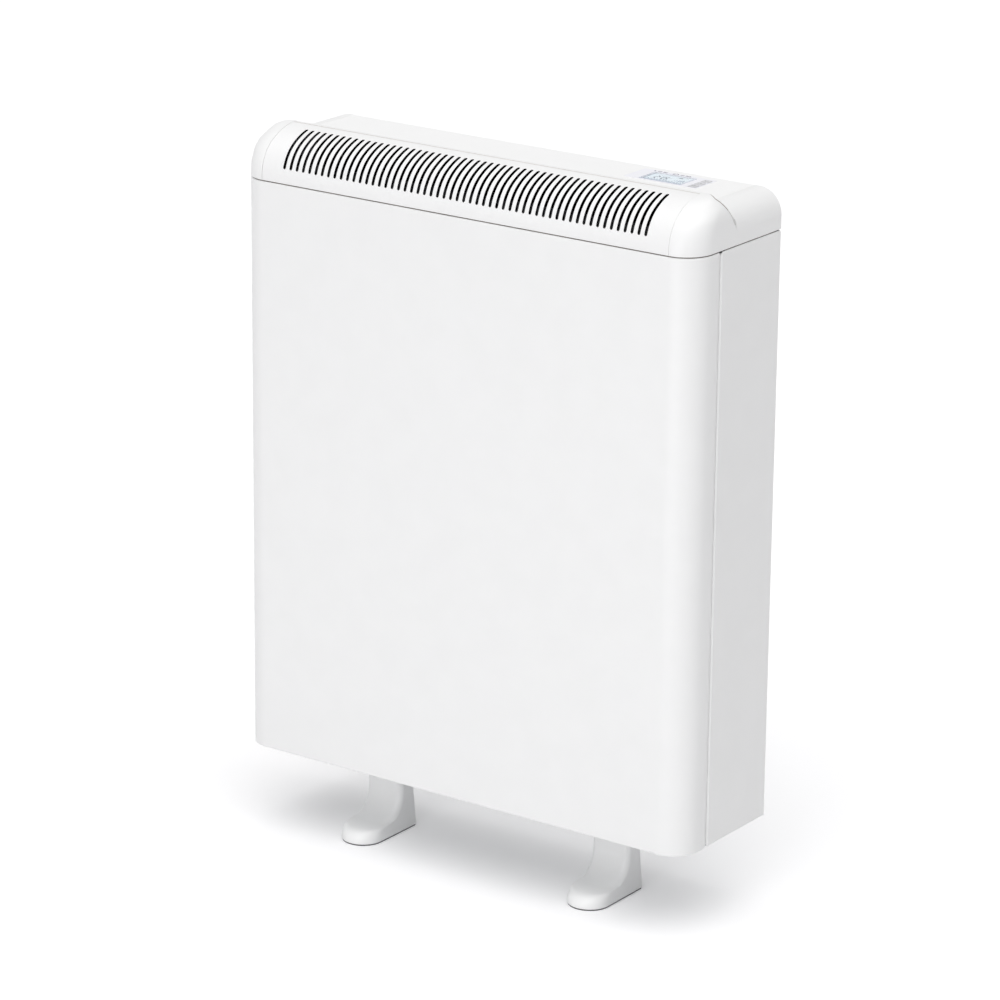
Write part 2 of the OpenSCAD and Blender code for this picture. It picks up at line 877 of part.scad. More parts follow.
// Path of one element: two legs joined by a bend at the left
module element_path(r, row, x1) {
    z = row_z(row);
    for (side = [-1, 1]) bar_x(r, bend_x, x1, core_mid, z + side * leg_pitch / 2);
    translate([bend_x, core_mid, z]) rotate([90, 0, 0])
        rotate_extrude(angle = 180, start = 90) translate([leg_pitch / 2, 0]) circle(r);
}

module element(row) {
    z = row_z(row);
    color("#6e6a66") union() {
        element_path(element_r, row, element_x1);
        for (s = [-1, 1]) bar_x(stud_r, element_x1, element_x1 + stud_h, core_mid, z + s * leg_pitch / 2);
    }
}

module lower_element() {
    element(0);
}

module middle_element() {
    element(1);
}

module upper_element() {
    element(2);
}

// Points where the elements' legs leave the case
function leg_heights() = [for (row = [0:2]) for (s = [-1, 1]) row_z(row) + s * leg_pitch / 2];

module element_bushes() {
    color("#e8e0d0") for (z = leg_heights()) difference() {
        union() {
            bar_x(bush_r, case_x1 - sheet_t, case_x1, core_mid, z);
            bar_x(bush_flange_r, case_x1, case_x1 + bush_h, core_mid, z);
        }
        bar_x(element_r + screw_clear, case_x1 - sheet_t - over, case_x1 + bush_h + over, core_mid, z);
    }
}

// Storage brick, grooved on its inner face for the elements, the air channels and the sensor.
// Layer 0 is the front layer; bricks are counted from the bottom left.
module brick(layer, place) {
    column = place % 2;
    row = floor(place / 2);
    x0 = core_x0 + column * brick_w;
    y0 = core_y0 + layer * brick_d;
    z0 = core_z0 + row * brick_h;
    color(BRICK) difference() {
        block([x0, y0, z0], [x0 + brick_w, y0 + brick_d, z0 + brick_h]);
        element_path(groove_r, row, element_x1);
        for (q = [1, 3]) {
            x = x0 + q * brick_w / 4;
            block(
                [x - channel_w / 2, core_mid - channel_d, z0 - over],
                [x + channel_w / 2, core_mid + channel_d, z0 + brick_h + over]
            );
        }
        if (place == 3) bar_x(sensor_r + groove_fit, sensor_x0, sensor_x1, core_mid, sensor_z);
    }
}

module front_brick_1() { brick(0, 0); }
module front_brick_2() { brick(0, 1); }
module front_brick_3() { brick(0, 2); }
module front_brick_4() { brick(0, 3); }
module front_brick_5() { brick(0, 4); }
module front_brick_6() { brick(0, 5); }
module rear_brick_1() { brick(1, 0); }
module rear_brick_2() { brick(1, 1); }
module rear_brick_3() { brick(1, 2); }
module rear_brick_4() { brick(1, 3); }
module rear_brick_5() { brick(1, 4); }
module rear_brick_6() { brick(1, 5); }

// Mouths of the air channels between two heights
module channel_mouths(z0, z1) {
    for (column = [0, 1]) for (q = [1, 3]) {
        x = core_x0 + column * brick_w + q * brick_w / 4;
        block([x - channel_w / 2, core_mid - channel_d, z0], [x + channel_w / 2, core_mid + channel_d, z1]);
    }
}

module base_slab() {
    color("#cfc4a8") difference() {
        block([case_x0 + sheet_t, case_y1, tray_z], [case_x1 - sheet_t, rear_in, core_z0]);
        channel_mouths(tray_z - over, core_z0 + over);
    }
}

module front_slab() {
    color(WOOL) block([core_x0, case_y1, core_z0], [core_x1, core_y0, core_z1]);
}

module rear_slab() {
    color(WOOL) block([core_x0, core_y1, core_z0], [core_x1, rear_in, core_z1]);
}

module left_slab() {
    color(WOOL) block([case_x0 + sheet_t, case_y1, core_z0], [core_x0, rear_in, core_z1]);
}

module right_slab() {
    color(WOOL) difference() {
        block([core_x1, case_y1, core_z0], [case_x1 - sheet_t, rear_in, core_z1]);
        for (z = leg_heights()) bar_x(groove_r, core_x1 - over, case_x1 + over, core_mid, z);
        bar_x(sensor_r + groove_fit, core_x1 - over, case_x1 + over, core_mid, sensor_z);
    }
}

module top_slab() {
    color(WOOL) difference() {
        block([case_x0 + sheet_t, case_y1, core_z1], [case_x1 - sheet_t, rear_in, lid_z0]);
        block([duct_x0, duct_y0, core_z1 - over], [duct_x1, duct_y1, lid_z0 + over]);
    }
}

// Folded case round the front and both ends of the core; its right side is the wiring partition
module core_case() {
    color(ZINC) difference() {
        union() {
            block([case_x0, case_y0, base_z1], [case_x1, case_y1, lid_z0]);
            block([case_x0, case_y1, base_z1], [case_x0 + sheet_t, rear_in, lid_z0]);
            block([case_x1 - sheet_t, case_y1, base_z1], [case_x1, rear_in, partition_z]);
        }
        x0 = case_x1 - sheet_t - over;
        x1 = case_x1 + over;
        for (z = leg_heights()) bar_x(bush_r + 0.1, x0, x1, core_mid, z);
        bar_x(sensor_r + groove_fit, x0, x1, core_mid, sensor_z);
        bar_x(shaft_r + 1, x0, x1, shaft_y, shaft_z);
    }
}

// Folded tray that carries the base slab and the bricks
module core_tray() {
    x0 = case_x0 + sheet_t;
    x1 = case_x1 - sheet_t;
    y0 = case_y1 + 13.5;
    y1 = rear_in - 4;
    color(ZINC) difference() {
        union() {
            block([x0, y0, tray_z - tray_t], [x1, y1, tray_z]);
            block([x0, y0, base_z1], [x1, y0 + tray_t, tray_z - tray_t]);
            block([x0, y1 - tray_t, base_z1], [x1, y1, tray_z - tray_t]);
        }
        channel_mouths(tray_z - tray_t - over, tray_z + over);
    }
}

// ---------- Boost element in the front air gap ----------

module boost_element() {
    tip_y = boost_y + boost_turn;
    color("#8a8682") union() {
        for (k = [0, 1]) {
            z = boost_z + k * boost_pitch;
            bar_x(boost_r, boost_x0, boost_x1, boost_y, z);
            translate([boost_x1, tip_y, z]) rotate_extrude(angle = 90, start = 270)
                translate([boost_turn, 0]) circle(boost_r);
            bar_y(boost_r, tip_y, tip_y + boost_tail, boost_x1 + boost_turn, z);
        }
        translate([boost_x0, boost_y, boost_z + boost_pitch / 2]) rotate([90, 0, 0])
            rotate_extrude(angle = 180, start = 90) translate([boost_pitch / 2, 0]) circle(boost_r);
    }
}

module boost_clips() {
    lap = boost_r + 1.6;
    color(ZINC) for (k = [-1:1]) translate([k * clip_pitch + clip_mid - clip_w / 2, 0, 0]) difference() {
        block([0, boost_y - lap, boost_z - clip_lap], [clip_w, case_y0, boost_z + boost_pitch + clip_lap]);
        for (i = [0, 1]) bar_x(boost_r + 0.1, -over, clip_w + over, boost_y, boost_z + i * boost_pitch);
    }
}

// ---------- Damper ----------

// Lid of the core's case with the outlet, its lip and the two bearing brackets
module damper_frame() {
    color(ZINC) difference() {
        union() {
            block([case_x0, case_y0, lid_z0], [case_x1 - sheet_t, rear_in, lid_z1]);
            block(
                [duct_x0 - lip_t, duct_y0 - lip_t, lid_z1],
                [duct_x1 + lip_t, duct_y1 + lip_t, lid_z1 + lip_h]
            );
            for (x = [bracket_x0, bracket_x1 - bracket_t])
                block([x, shaft_y - 10, lid_z1], [x + bracket_t, shaft_y + 10, shaft_z + 9]);
        }
        block([duct_x0, duct_y0, lid_z0 - over], [duct_x1, duct_y1, lid_z1 + lip_h + over]);
        for (x = [bracket_x0, bracket_x1 - bracket_t])
            bar_x(damper_bush_r + 0.05, x - over, x + bracket_t + over, shaft_y, shaft_z);
    }
}

module damper_bush() {
    x0 = bracket_x1 - bracket_t;
    x1 = bracket_x1 + 1.5;
    difference() {
        union() {
            bar_x(damper_bush_r, x0, bracket_x1, shaft_y, shaft_z);
            bar_x(damper_bush_r + 2, bracket_x1, x1, shaft_y, shaft_z);
        }
        bar_x(shaft_r + shaft_fit, x0 - over, x1 + over, shaft_y, shaft_z);
    }
}

module damper_bushes() {
    color("#c9a45c") {
        damper_bush();
        translate([bracket_x0 + bracket_x1, 0, 0]) at_left() damper_bush();
    }
}

// Flap with the tube that carries it on the shaft
module damper_flap() {
    x0 = duct_x0 - bracket_gap + seat;
    x1 = duct_x1 + bracket_gap - seat;
    color(ZINC) difference() {
        union() {
            block([x0, duct_y0 - lip_t - 1, flap_z], [x1, shaft_y, flap_z + flap_t]);
            bar_x(hub_r, x0, x1, shaft_y, shaft_z);
        }
        bar_x(shaft_r + 0.02, x0 - over, x1 + over, shaft_y, shaft_z);
    }
}

module damper_shaft() {
    color(STEEL) bar_x(shaft_r, bracket_x0 - 4, shaft_end, shaft_y, shaft_z);
}

// Geared motor on the partition, with its fixing plate
module damper_motor() {
    ear = motor_r + 6;
    x0 = case_x1 + 1.5;
    color("#d8d8d4") difference() {
        union() {
            block([case_x1, shaft_y - ear, shaft_z - 7], [x0, shaft_y + ear, shaft_z + 7]);
            bar_x(motor_r, x0, case_x1 + motor_h, shaft_y, shaft_z);
            block(
                [x0 + 3, shaft_y - 9, shaft_z - motor_r - plug_h],
                [case_x1 + motor_h - 3, shaft_y + 9, shaft_z - motor_r + 4]
            );
        }
        bar_x(shaft_r + 0.4, case_x1 - over, shaft_end + 1, shaft_y, shaft_z);
    }
}

// ---------- Electrics in the wiring space ----------

// Power board on four pillars, with relays, transformer and capacitors
module power_board() {
    y1 = power_y + power_d;
    z1 = power_z + power_h;
    x1 = board_x + board_t;
    color("#2f6b3a") union() {
        block([board_x, power_y, power_z], [x1, y1, z1]);
        for (y = [power_y + pillar_set, y1 - pillar_set]) for (z = [power_z + pillar_set, z1 - pillar_set])
            bar_x(pillar_r, case_x1, board_x, y, z);
        for (k = [0:2]) translate([x1, power_y + 4, power_z + 14 + relay_pitch * k])
            cube([relay_rise, relay_w, relay_h]);
        translate([x1, power_y + 8, z1 - 30 - coil_w]) cube([coil_rise, coil_w, coil_w]);
        for (k = [0, 1])
            bar_x(capacitor_r, x1, x1 + capacitor_rise, y1 - capacitor_r - 4, power_z + 20 * (k + 1));
    }
}

module terminal_block() {
    x1 = case_x1 + terminal_d;
    z1 = terminal_z + terminal_h;
    color("#e9e9e4") difference() {
        block([case_x1, terminal_y, terminal_z], [x1, terminal_y + terminal_w, z1]);
        for (k = [0:3]) {
            y = terminal_y + terminal_w / 2 + (k - 1.5) * terminal_pitch;
            bar_x(terminal_r, x1 - 10, x1 + over, y, z1 - 8);
            translate([x1 - 8, y, terminal_z - over]) cylinder(h = 10, r = terminal_r);
        }
    }
}

// Rubber grommet that lines the cable hole in the rear panel
module cable_grommet() {
    y0 = rear_in - grommet_lip_t;
    lip_r = grommet_r + grommet_lip;
    color("#2b2b2d") difference() {
        union() {
            bar_y(lip_r, y0, rear_in, wiring_x, grommet_z);
            bar_y(grommet_r, rear_in, rear_out, wiring_x, grommet_z);
            bar_y(lip_r, rear_out, back_y, wiring_x, grommet_z);
        }
        bar_y(cable_r, y0 - over, back_y + over, wiring_x, grommet_z);
    }
}

module core_sensor() {
    color(STEEL) union() {
        bar_x(sensor_r, sensor_x0 + 1, sensor_x1, core_mid, sensor_z);
        bar_x(sensor_r + 3, case_x1, case_x1 + 4, core_mid, sensor_z);
    }
}

// Two disc cut-outs on the partition, at the joints between the rows of bricks
module thermal_cutouts() {
    cap_x0 = case_x1 + 3;
    cap_x1 = cap_x0 + 10;
    color("#3a3330") for (row = [1, 2]) translate([0, cutout_y, core_z0 + row * brick_h]) {
        bar_x(cutout_r, case_x1, cap_x0, 0, 0);
        bar_x(cutout_r - 2, cap_x0, cap_x1, 0, 0);
        for (side = [-1, 1]) translate([cap_x1, side * 4 - 0.5, -blade_w / 2]) cube([8, 1, blade_w]);
    }
}

// Room sensor: a bead on a clip that stands on the base
module room_sensor() {
    color("#f0f0ee") translate([bead_x, bead_y, base_z1]) {
        block([-7, -10, 0], [7, 10, 1.5]);
        block([-1, -4, 1.5], [1, 4, 14]);
        translate([0, 0, 16]) sphere(r = bead_r);
    }
}

// Wiring trunk with a branch to each element end
module wiring_loom() {
    reach_x = loom_x - element_x1 - stud_h;
    reach_y = loom_y - core_mid;
    length = sqrt(reach_x * reach_x + reach_y * reach_y);
    side = atan2(-reach_y, -reach_x);
    trunk_z = terminal_z + 12;
    plug_z = shaft_z - motor_r - plug_h / 2;
    color("#3b3b40") union() {
        translate([loom_x, loom_y, trunk_z]) cylinder(h = housing_z0 - seat - trunk_z, r = loom_r);
        for (z = leg_heights()) translate([loom_x, loom_y, z])
            rotate([0, 90, side]) cylinder(h = length - stud_r - seat, r = wire_r);
        bar_x(wire_r, case_x1 + terminal_d + seat, loom_x, loom_y - 3, terminal_z + terminal_h - 8);
        bar_x(wire_r, board_x + board_t + seat, loom_x, loom_y, power_z + 96);
        bar_x(wire_r, case_x1 + motor_h - 3 + seat, loom_x, shaft_y, plug_z);
        bar_y(wire_r, shaft_y, loom_y, loom_x, plug_z);
    }
}

front_panel();
left_side_panel();
right_side_panel();
rear_panel();
base_plate();
top_panel();
outlet_grille();
left_end_cap();
right_end_cap();
control_label();
display_window();
menu_key();
up_key();
down_key();
control_housing();
display_board();
display_module();
left_foot();
right_foot();
foot_soles();
foot_screws();
base_screws();
core_case();
core_tray();
base_slab();
front_slab();
rear_slab();
left_slab();
right_slab();
top_slab();
front_brick_1();
front_brick_2();
front_brick_3();
front_brick_4();
front_brick_5();
front_brick_6();
rear_brick_1();
rear_brick_2();
rear_brick_3();
rear_brick_4();
rear_brick_5();
rear_brick_6();
lower_element();
middle_element();
upper_element();
element_bushes();
boost_element();
boost_clips();
damper_frame();
damper_bushes();
damper_flap();
damper_shaft();
damper_motor();
power_board();
terminal_block();
cable_grommet();
core_sensor();
thermal_cutouts();
room_sensor();
wiring_loom();
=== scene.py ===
"""Slim white storage heater on two feet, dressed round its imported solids."""

import json
import math

import bmesh
import bpy
from bpy.props import FloatProperty, FloatVectorProperty, IntProperty, PointerProperty
from mathutils import Matrix, Vector


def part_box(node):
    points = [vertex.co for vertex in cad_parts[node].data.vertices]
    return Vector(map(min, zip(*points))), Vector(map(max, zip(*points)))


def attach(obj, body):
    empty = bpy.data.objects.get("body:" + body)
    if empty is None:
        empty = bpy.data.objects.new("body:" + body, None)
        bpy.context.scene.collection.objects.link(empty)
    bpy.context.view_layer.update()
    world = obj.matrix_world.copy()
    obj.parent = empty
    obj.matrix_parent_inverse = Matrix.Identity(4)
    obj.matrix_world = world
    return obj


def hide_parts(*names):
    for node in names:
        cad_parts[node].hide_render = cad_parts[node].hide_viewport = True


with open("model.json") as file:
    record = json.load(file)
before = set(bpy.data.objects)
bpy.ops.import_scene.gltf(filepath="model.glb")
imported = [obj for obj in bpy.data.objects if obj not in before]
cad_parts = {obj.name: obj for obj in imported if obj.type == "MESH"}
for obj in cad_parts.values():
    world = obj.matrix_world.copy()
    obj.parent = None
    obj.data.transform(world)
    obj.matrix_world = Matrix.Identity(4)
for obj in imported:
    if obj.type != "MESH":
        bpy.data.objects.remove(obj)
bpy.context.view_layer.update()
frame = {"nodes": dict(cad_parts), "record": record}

bl_info = {
    "name": "Storage Heater",
    "version": (1, 0, 0),
    "blender": (4, 5, 0),
    "location": "View3D > Sidebar > Heater",
    "description": "Builds a slim white storage heater with a bull-nosed slotted top",
    "category": "Add Mesh",
}

MM = 0.001

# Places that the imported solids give
FRONT_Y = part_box("front_panel")[0].y
UNDER_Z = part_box("front_panel")[0].z
PANEL_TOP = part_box("front_panel")[1].z
JOINT_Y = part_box("front_panel")[1].y
HALF_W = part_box("right_side_panel")[1].x
SIDE_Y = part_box("right_side_panel")[0].y
BACK_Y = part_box("right_side_panel")[1].y
MID_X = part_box("top_panel")[1].x
DECK_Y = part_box("top_panel")[0].y
SEAM_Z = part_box("top_panel")[0].z
DECK_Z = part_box("top_panel")[1].z
CREST_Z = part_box("outlet_grille")[1].z
LEDGE_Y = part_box("outlet_grille")[1].y
CAP_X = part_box("right_end_cap")[0].x

# Skirts under the top: their distance in from the casing's faces, and their heights
SKIRT = 2.4 * MM
SKIRT_LOW = SEAM_Z - 10 * MM
SKIRT_TOP = SEAM_Z + 2 * MM

# Folded sheets: cut edge, fold radius at the foot, and how far a fold stays above the foot
CUT_EDGE = 0.3 * MM
FOOT_BEND = 1.6 * MM
FOLD_LIFT = 2.5 * MM

# Gap round the keys and the window, the radius of a key's corners and of its opening's
OPENING_GAP = 0.3 * MM
OPENING_R = 1.1 * MM

# Thickness of printed marks
INK = 0.03 * MM

KEYS = ("menu_key", "up_key", "down_key")


def size(name, text, value, **more):
    """One length of the casing as a property, in metres."""
    return FloatProperty(
        name=name, description=text, default=value, min=0.0, precision=5,
        unit="LENGTH", subtype="DISTANCE", **more
    )


def colour(name, text, value):
    """One colour of a finish as a property."""
    return FloatVectorProperty(
        name=name, description=text, default=value, size=3, min=0.0, max=1.0, subtype="COLOR"
    )


class HeaterSizes(bpy.types.PropertyGroup):
    """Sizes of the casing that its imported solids' boxes don't give"""

    sheet: size("Sheet", "Thickness of the casing's sheet steel", 1.0 * MM)
    corner: size("Corner radius", "Outer radius of the front panel's two corners", 31.0 * MM)
    bend: size("Bend radius", "Outer radius of the folds at the rear edges", 2.0 * MM)
    slant: size("Slant", "Depth of the slanted front edge of a side panel", 1.0 * MM)
    sill: size("Sill", "Depth of the fold under the front panel", 5.0 * MM)
    ledge: size("Ledge", "Width of the fold under a side panel", 13.0 * MM)
    crest_set: size("Crest setback", "Depth from the front face to the crest", 57.5 * MM)
    band: size("Band", "Height of the upright band below the nose", 4.5 * MM)
    nose: size("Nose radius", "Radius of the bull nose", 42.0 * MM)
    end: size("End radius", "Radius of the nose's rounded ends", 23.5 * MM)
    shoulder: size("Shoulder radius", "Radius of the rear shoulders", 26.0 * MM)
    slot_pitch: size("Slot pitch", "Distance from slot to slot", 8.0 * MM)
    slot_width: size("Slot width", "Width of each slot", 3.4 * MM)
    slot_low: size("Slot foot", "Height of the slots' lower ends above the seam", 15.0 * MM)
    slot_high: size("Slot head", "Height of the slots' upper ends above the seam", 49.0 * MM)
    slot_count: IntProperty(
        name="Slots", description="Number of slots in the outlet", default=56, min=1, max=58
    )
    toe: size("Toe height", "Height of a foot's rounded toe", 14.0 * MM)
    sweep: size("Sweep radius", "Radius of the sweep from a foot's toe to its column", 31.0 * MM)
    key: size("Key", "Width of each key", 9.0 * MM)


class HeaterColours(bpy.types.PropertyGroup):
    """Colours of the visible finishes"""

    panel: colour("Panel", "Stoved white paint of the panels", (0.895, 0.895, 0.895))
    moulding: colour("Moulding", "White plastic of the nose and the ends", (0.90, 0.90, 0.90))
    label: colour("Label", "Pale film round the display", (0.91, 0.91, 0.96))
    lcd: colour("Display", "Pale blue ground of the display", (0.84, 0.93, 0.99))
    ink: colour("Ink", "Marks printed on the label", (0.20, 0.19, 0.24))
    # Lighter than the panels' white: painted light on the deck and the feet.
    lid: colour("Lid", "White of the deck and the feet", (0.95, 0.95, 0.95))
    key: colour("Key", "Grey of the three keys", (0.69, 0.69, 0.71))
    zinc: colour("Zinc", "Zinc-coated sheet", (0.56, 0.58, 0.59))
    brick: colour("Brick", "Storage bricks", (0.085, 0.060, 0.050))


# ---------- Finishes ----------


def node_tree(name):
    """A new material with its shader, and its node tree."""
    made = bpy.data.materials.new(name)
    made.use_nodes = True
    tree = made.node_tree
    return made, tree, tree.nodes["Principled BSDF"]


def texture(tree, kind, scale, stretch=(1, 1, 1)):
    """A texture over the piece's own coordinates, in cells per metre."""
    place = tree.nodes.new("ShaderNodeTexCoord")
    spread = tree.nodes.new("ShaderNodeMapping")
    spread.inputs["Scale"].default_value = stretch
    made = tree.nodes.new(kind)
    made.inputs["Scale"].default_value = scale
    tree.links.new(place.outputs["Object"], spread.inputs["Vector"])
    tree.links.new(spread.outputs["Vector"], made.inputs["Vector"])
    return made


def noise(tree, scale, detail=2.0, rough=0.5, stretch=(1, 1, 1)):
    """Soft irregular noise."""
    made = texture(tree, "ShaderNodeTexNoise", scale, stretch)
    made.inputs["Detail"].default_value = detail
    made.inputs["Roughness"].default_value = rough
    return made.outputs["Fac"]


def cells(tree, scale, part="Color"):
    """Irregular cells."""
    return texture(tree, "ShaderNodeTexVoronoi", scale).outputs[part]


def colours(tree, shader, value, stops):
    """Colours the surface along a value."""
    made = tree.nodes.new("ShaderNodeValToRGB")
    bar = made.color_ramp
    while len(bar.elements) < len(stops):
        bar.elements.new(0.5)
    for element, (place, shade_made) in zip(bar.elements, stops):
        element.position = place
        element.color = (*shade_made, 1.0)
    tree.links.new(value, made.inputs["Fac"])
    tree.links.new(made.outputs["Color"], shader.inputs["Base Color"])


def gloss(tree, shader, value, low, high, near=0.3, far=0.7):
    """Moves the roughness from low to high while a value goes from near to far."""
    made = tree.nodes.new("ShaderNodeMapRange")
    made.inputs["From Min"].default_value = near
    made.inputs["From Max"].default_value = far
    made.inputs["To Min"].default_value = low
    made.inputs["To Max"].default_value = high
    tree.links.new(value, made.inputs["Value"])
    tree.links.new(made.outputs["Result"], shader.inputs["Roughness"])


def bump(tree, shader, value, depth):
    """Fine relief of a depth in metres."""
    made = tree.nodes.new("ShaderNodeBump")
    made.inputs["Distance"].default_value = depth
    tree.links.new(value, made.inputs["Height"])
    tree.links.new(made.outputs["Normal"], shader.inputs["Normal"])


def shade(base, amount):
    """A colour made lighter or darker."""
    return tuple(min(1.0, max(0.0, c * amount)) for c in base)


def plain(name, base, rough, grain, depth, vary=0.02, metal=0.0, stretch=(1, 1, 1),
          specular=0.5, rough_vary=0.05):
    """A finish with a cloudy colour, an uneven gloss and a fine grain in its surface."""
    made, tree, shader = node_tree(name)
    colours(tree, shader, noise(tree, 28.0, 3.0),
            [(0.35, shade(base, 1 - vary)), (0.65, shade(base, 1 + vary))])
    shader.inputs["Metallic"].default_value = metal
    shader.inputs["Specular IOR Level"].default_value = specular
    gloss(tree, shader, noise(tree, 90.0), rough - rough_vary, rough + rough_vary)
    bump(tree, shader, noise(tree, grain, stretch=stretch), depth)
    return made


def speckled(name, base, spot, rough, scale, grain, depth, share):
    """A finish with small darker or lighter grains in its body."""
    made, tree, shader = node_tree(name)
    colours(tree, shader, noise(tree, scale, 4.0, 0.7),
            [(share - 0.1, base), (share, shade(base, 1.12)), (share + 0.08, spot)])
    gloss(tree, shader, noise(tree, 120.0), rough - 0.06, rough + 0.06)
    bump(tree, shader, noise(tree, grain, 4.0, 0.65), depth)
    return made


def spangled(name, base):
    """Zinc-coated steel: crystals a few millimetres wide, each with its own grey and gloss."""
    made, tree, shader = node_tree(name)
    one = tree.nodes.new("ShaderNodeSeparateColor")
    tree.links.new(cells(tree, 110.0), one.inputs["Color"])
    colours(tree, shader, one.outputs["Red"],
            [(0.0, shade(base, 0.93)), (1.0, shade(base, 1.05))])
    gloss(tree, shader, one.outputs["Green"], 0.34, 0.52, 0.0, 1.0)
    shader.inputs["Metallic"].default_value = 0.75
    bump(tree, shader, noise(tree, 700.0, 3.0), 0.03 * MM)
    return made


def board(name):
    """Circuit board: green lacquer over darker tracks, with fine bright points."""
    made, tree, shader = node_tree(name)
    track = cells(tree, 420.0, "Distance")
    colours(tree, shader, track,
            [(0.10, (0.42, 0.36, 0.16)), (0.16, (0.02, 0.13, 0.06)), (0.6, (0.03, 0.20, 0.09))])
    shader.inputs["Roughness"].default_value = 0.32
    bump(tree, shader, track, 0.05 * MM)
    return made


def fibrous(name, base, rough):
    """Pressed mineral fibre: streaks, clumps and a soft uneven surface."""
    made, tree, shader = node_tree(name)
    colours(tree, shader, noise(tree, 160.0, 6.0, 0.7, (1.0, 1.0, 3.0)),
            [(0.3, shade(base, 0.8)), (0.55, base), (0.8, shade(base, 1.12))])
    shader.inputs["Roughness"].default_value = rough
    bump(tree, shader, noise(tree, 600.0, 6.0, 0.75, (1.0, 1.0, 2.5)), 0.35 * MM)
    return made


def tinted_steel(name):
    """Heat-tinted sheath of a heating element: straw to blue-brown along its length."""
    made, tree, shader = node_tree(name)
    colours(tree, shader, noise(tree, 14.0, 3.0, 0.55, (1.0, 3.0, 3.0)),
            [(0.30, (0.10, 0.09, 0.10)), (0.48, (0.17, 0.12, 0.09)), (0.62, (0.24, 0.21, 0.18)),
             (0.78, (0.33, 0.32, 0.31))])
    shader.inputs["Metallic"].default_value = 0.85
    gloss(tree, shader, noise(tree, 200.0), 0.34, 0.5)
    bump(tree, shader, noise(tree, 900.0, stretch=(0.15, 1, 1)), 0.02 * MM)
    return made


def clear(name):
    """Clear plastic of the window, thin enough to see the display through it."""
    made, tree, shader = node_tree(name)
    colours(tree, shader, noise(tree, 40.0),
            [(0.3, (0.86, 0.90, 0.94)), (0.7, (0.90, 0.94, 0.98))])
    gloss(tree, shader, noise(tree, 220.0), 0.05, 0.09)
    shader.inputs["Alpha"].default_value = 0.07
    shader.inputs["IOR"].default_value = 1.49
    return made


# Finishes in one colour: property or colour, roughness, grain, relief in mm, what differs
PLAIN = {
    "white_panel": ("panel", 0.40, 1500.0, 0.012, {"vary": 0.006, "rough_vary": 0.03}),
    "white_moulding": ("moulding", 0.34, 2400.0, 0.0015, {"vary": 0.003, "rough_vary": 0.02}),
    # The deck's and the feet's whites are lighter than the panels' and the moulding's: painted
    # light.
    "white_lid": ("lid", 0.40, 1500.0, 0.012, {"vary": 0.004, "rough_vary": 0.03}),
    "white_foot": ("lid", 0.32, 2400.0, 0.004, {"vary": 0.004, "rough_vary": 0.02}),
    "label_film": ("label", 0.34, 3500.0, 0.006, {"vary": 0.01}),
    "label_ink": ("ink", 0.5, 5200.0, 0.004, {"vary": 0.05}),
    "key_grey": ("key", 0.55, 4200.0, 0.012, {"vary": 0.03}),
    "key_mark": ((0.26, 0.26, 0.29), 0.5, 5200.0, 0.004, {"vary": 0.03}),
    "display_ground": ("lcd", 0.3, 5200.0, 0.004, {}),
    "display_ink": ((0.03, 0.05, 0.10), 0.35, 5200.0, 0.004, {"vary": 0.05}),
    "display_edge": ((0.17, 0.24, 0.38), 0.4, 5200.0, 0.004, {"vary": 0.04}),
    # Near-black painted shade inside the slots and on the plate behind them.
    "gap_dark": ((0.0015, 0.0015, 0.0015), 0.93, 1500.0, 0.03, {"vary": 0.15, "specular": 0.0}),
    # Grey painted shade in the seams under the top and near the crest on the nose's rear corner.
    "gap_grey": ((0.34, 0.30, 0.27), 0.7, 1500.0, 0.03, {"vary": 0.05, "specular": 0.2}),
    # Pale grey painted shade on the floor of the groove along the crest.
    "line_grey": ((0.74, 0.72, 0.70), 0.6, 1500.0, 0.004, {"vary": 0.01}),
    # Grey painted shade lower down the nose's rear corner.
    "crease_grey": ((0.60, 0.59, 0.58), 0.6, 1500.0, 0.004, {}),
    "sole_grey": ((0.14, 0.14, 0.145), 0.7, 1800.0, 0.03, {"vary": 0.08}),
    "rubber_black": ((0.028, 0.028, 0.030), 0.7, 1800.0, 0.05, {"vary": 0.12}),
    "housing_plastic": ((0.62, 0.62, 0.60), 0.5, 2600.0, 0.02, {}),
    "motor_plastic": ((0.05, 0.05, 0.055), 0.45, 2400.0, 0.03, {"vary": 0.08}),
    "terminal_plastic": ((0.66, 0.62, 0.50), 0.42, 2200.0, 0.02, {}),
    "wire_sleeve": ((0.52, 0.30, 0.20), 0.6, 2600.0, 0.05,
                    {"vary": 0.12, "stretch": (1, 1, 0.3)}),
    "steel_plain": ((0.55, 0.56, 0.57), 0.30, 1600.0, 0.01,
                    {"vary": 0.06, "metal": 0.9, "stretch": (0.2, 1, 1)}),
}

# Speckled finishes: property or colour, speckles' colour, roughness, speckles and grain per
# metre, relief in mm, and the noise value at which the speckles start
SPECKLED = {
    "storage_brick": ("brick", (0.17, 0.12, 0.10), 0.8, 420.0, 900.0, 0.5, 0.55),
    "bush_ceramic": ((0.78, 0.74, 0.66), (0.55, 0.49, 0.40), 0.45, 900.0, 1600.0, 0.04, 0.62),
    "bush_bronze": ((0.46, 0.27, 0.12), (0.30, 0.16, 0.07), 0.4, 1500.0, 2200.0, 0.03, 0.55),
    "cutout_phenolic": ((0.035, 0.028, 0.024), (0.07, 0.05, 0.04), 0.35, 1200.0, 1800.0, 0.03,
                        0.55),
}


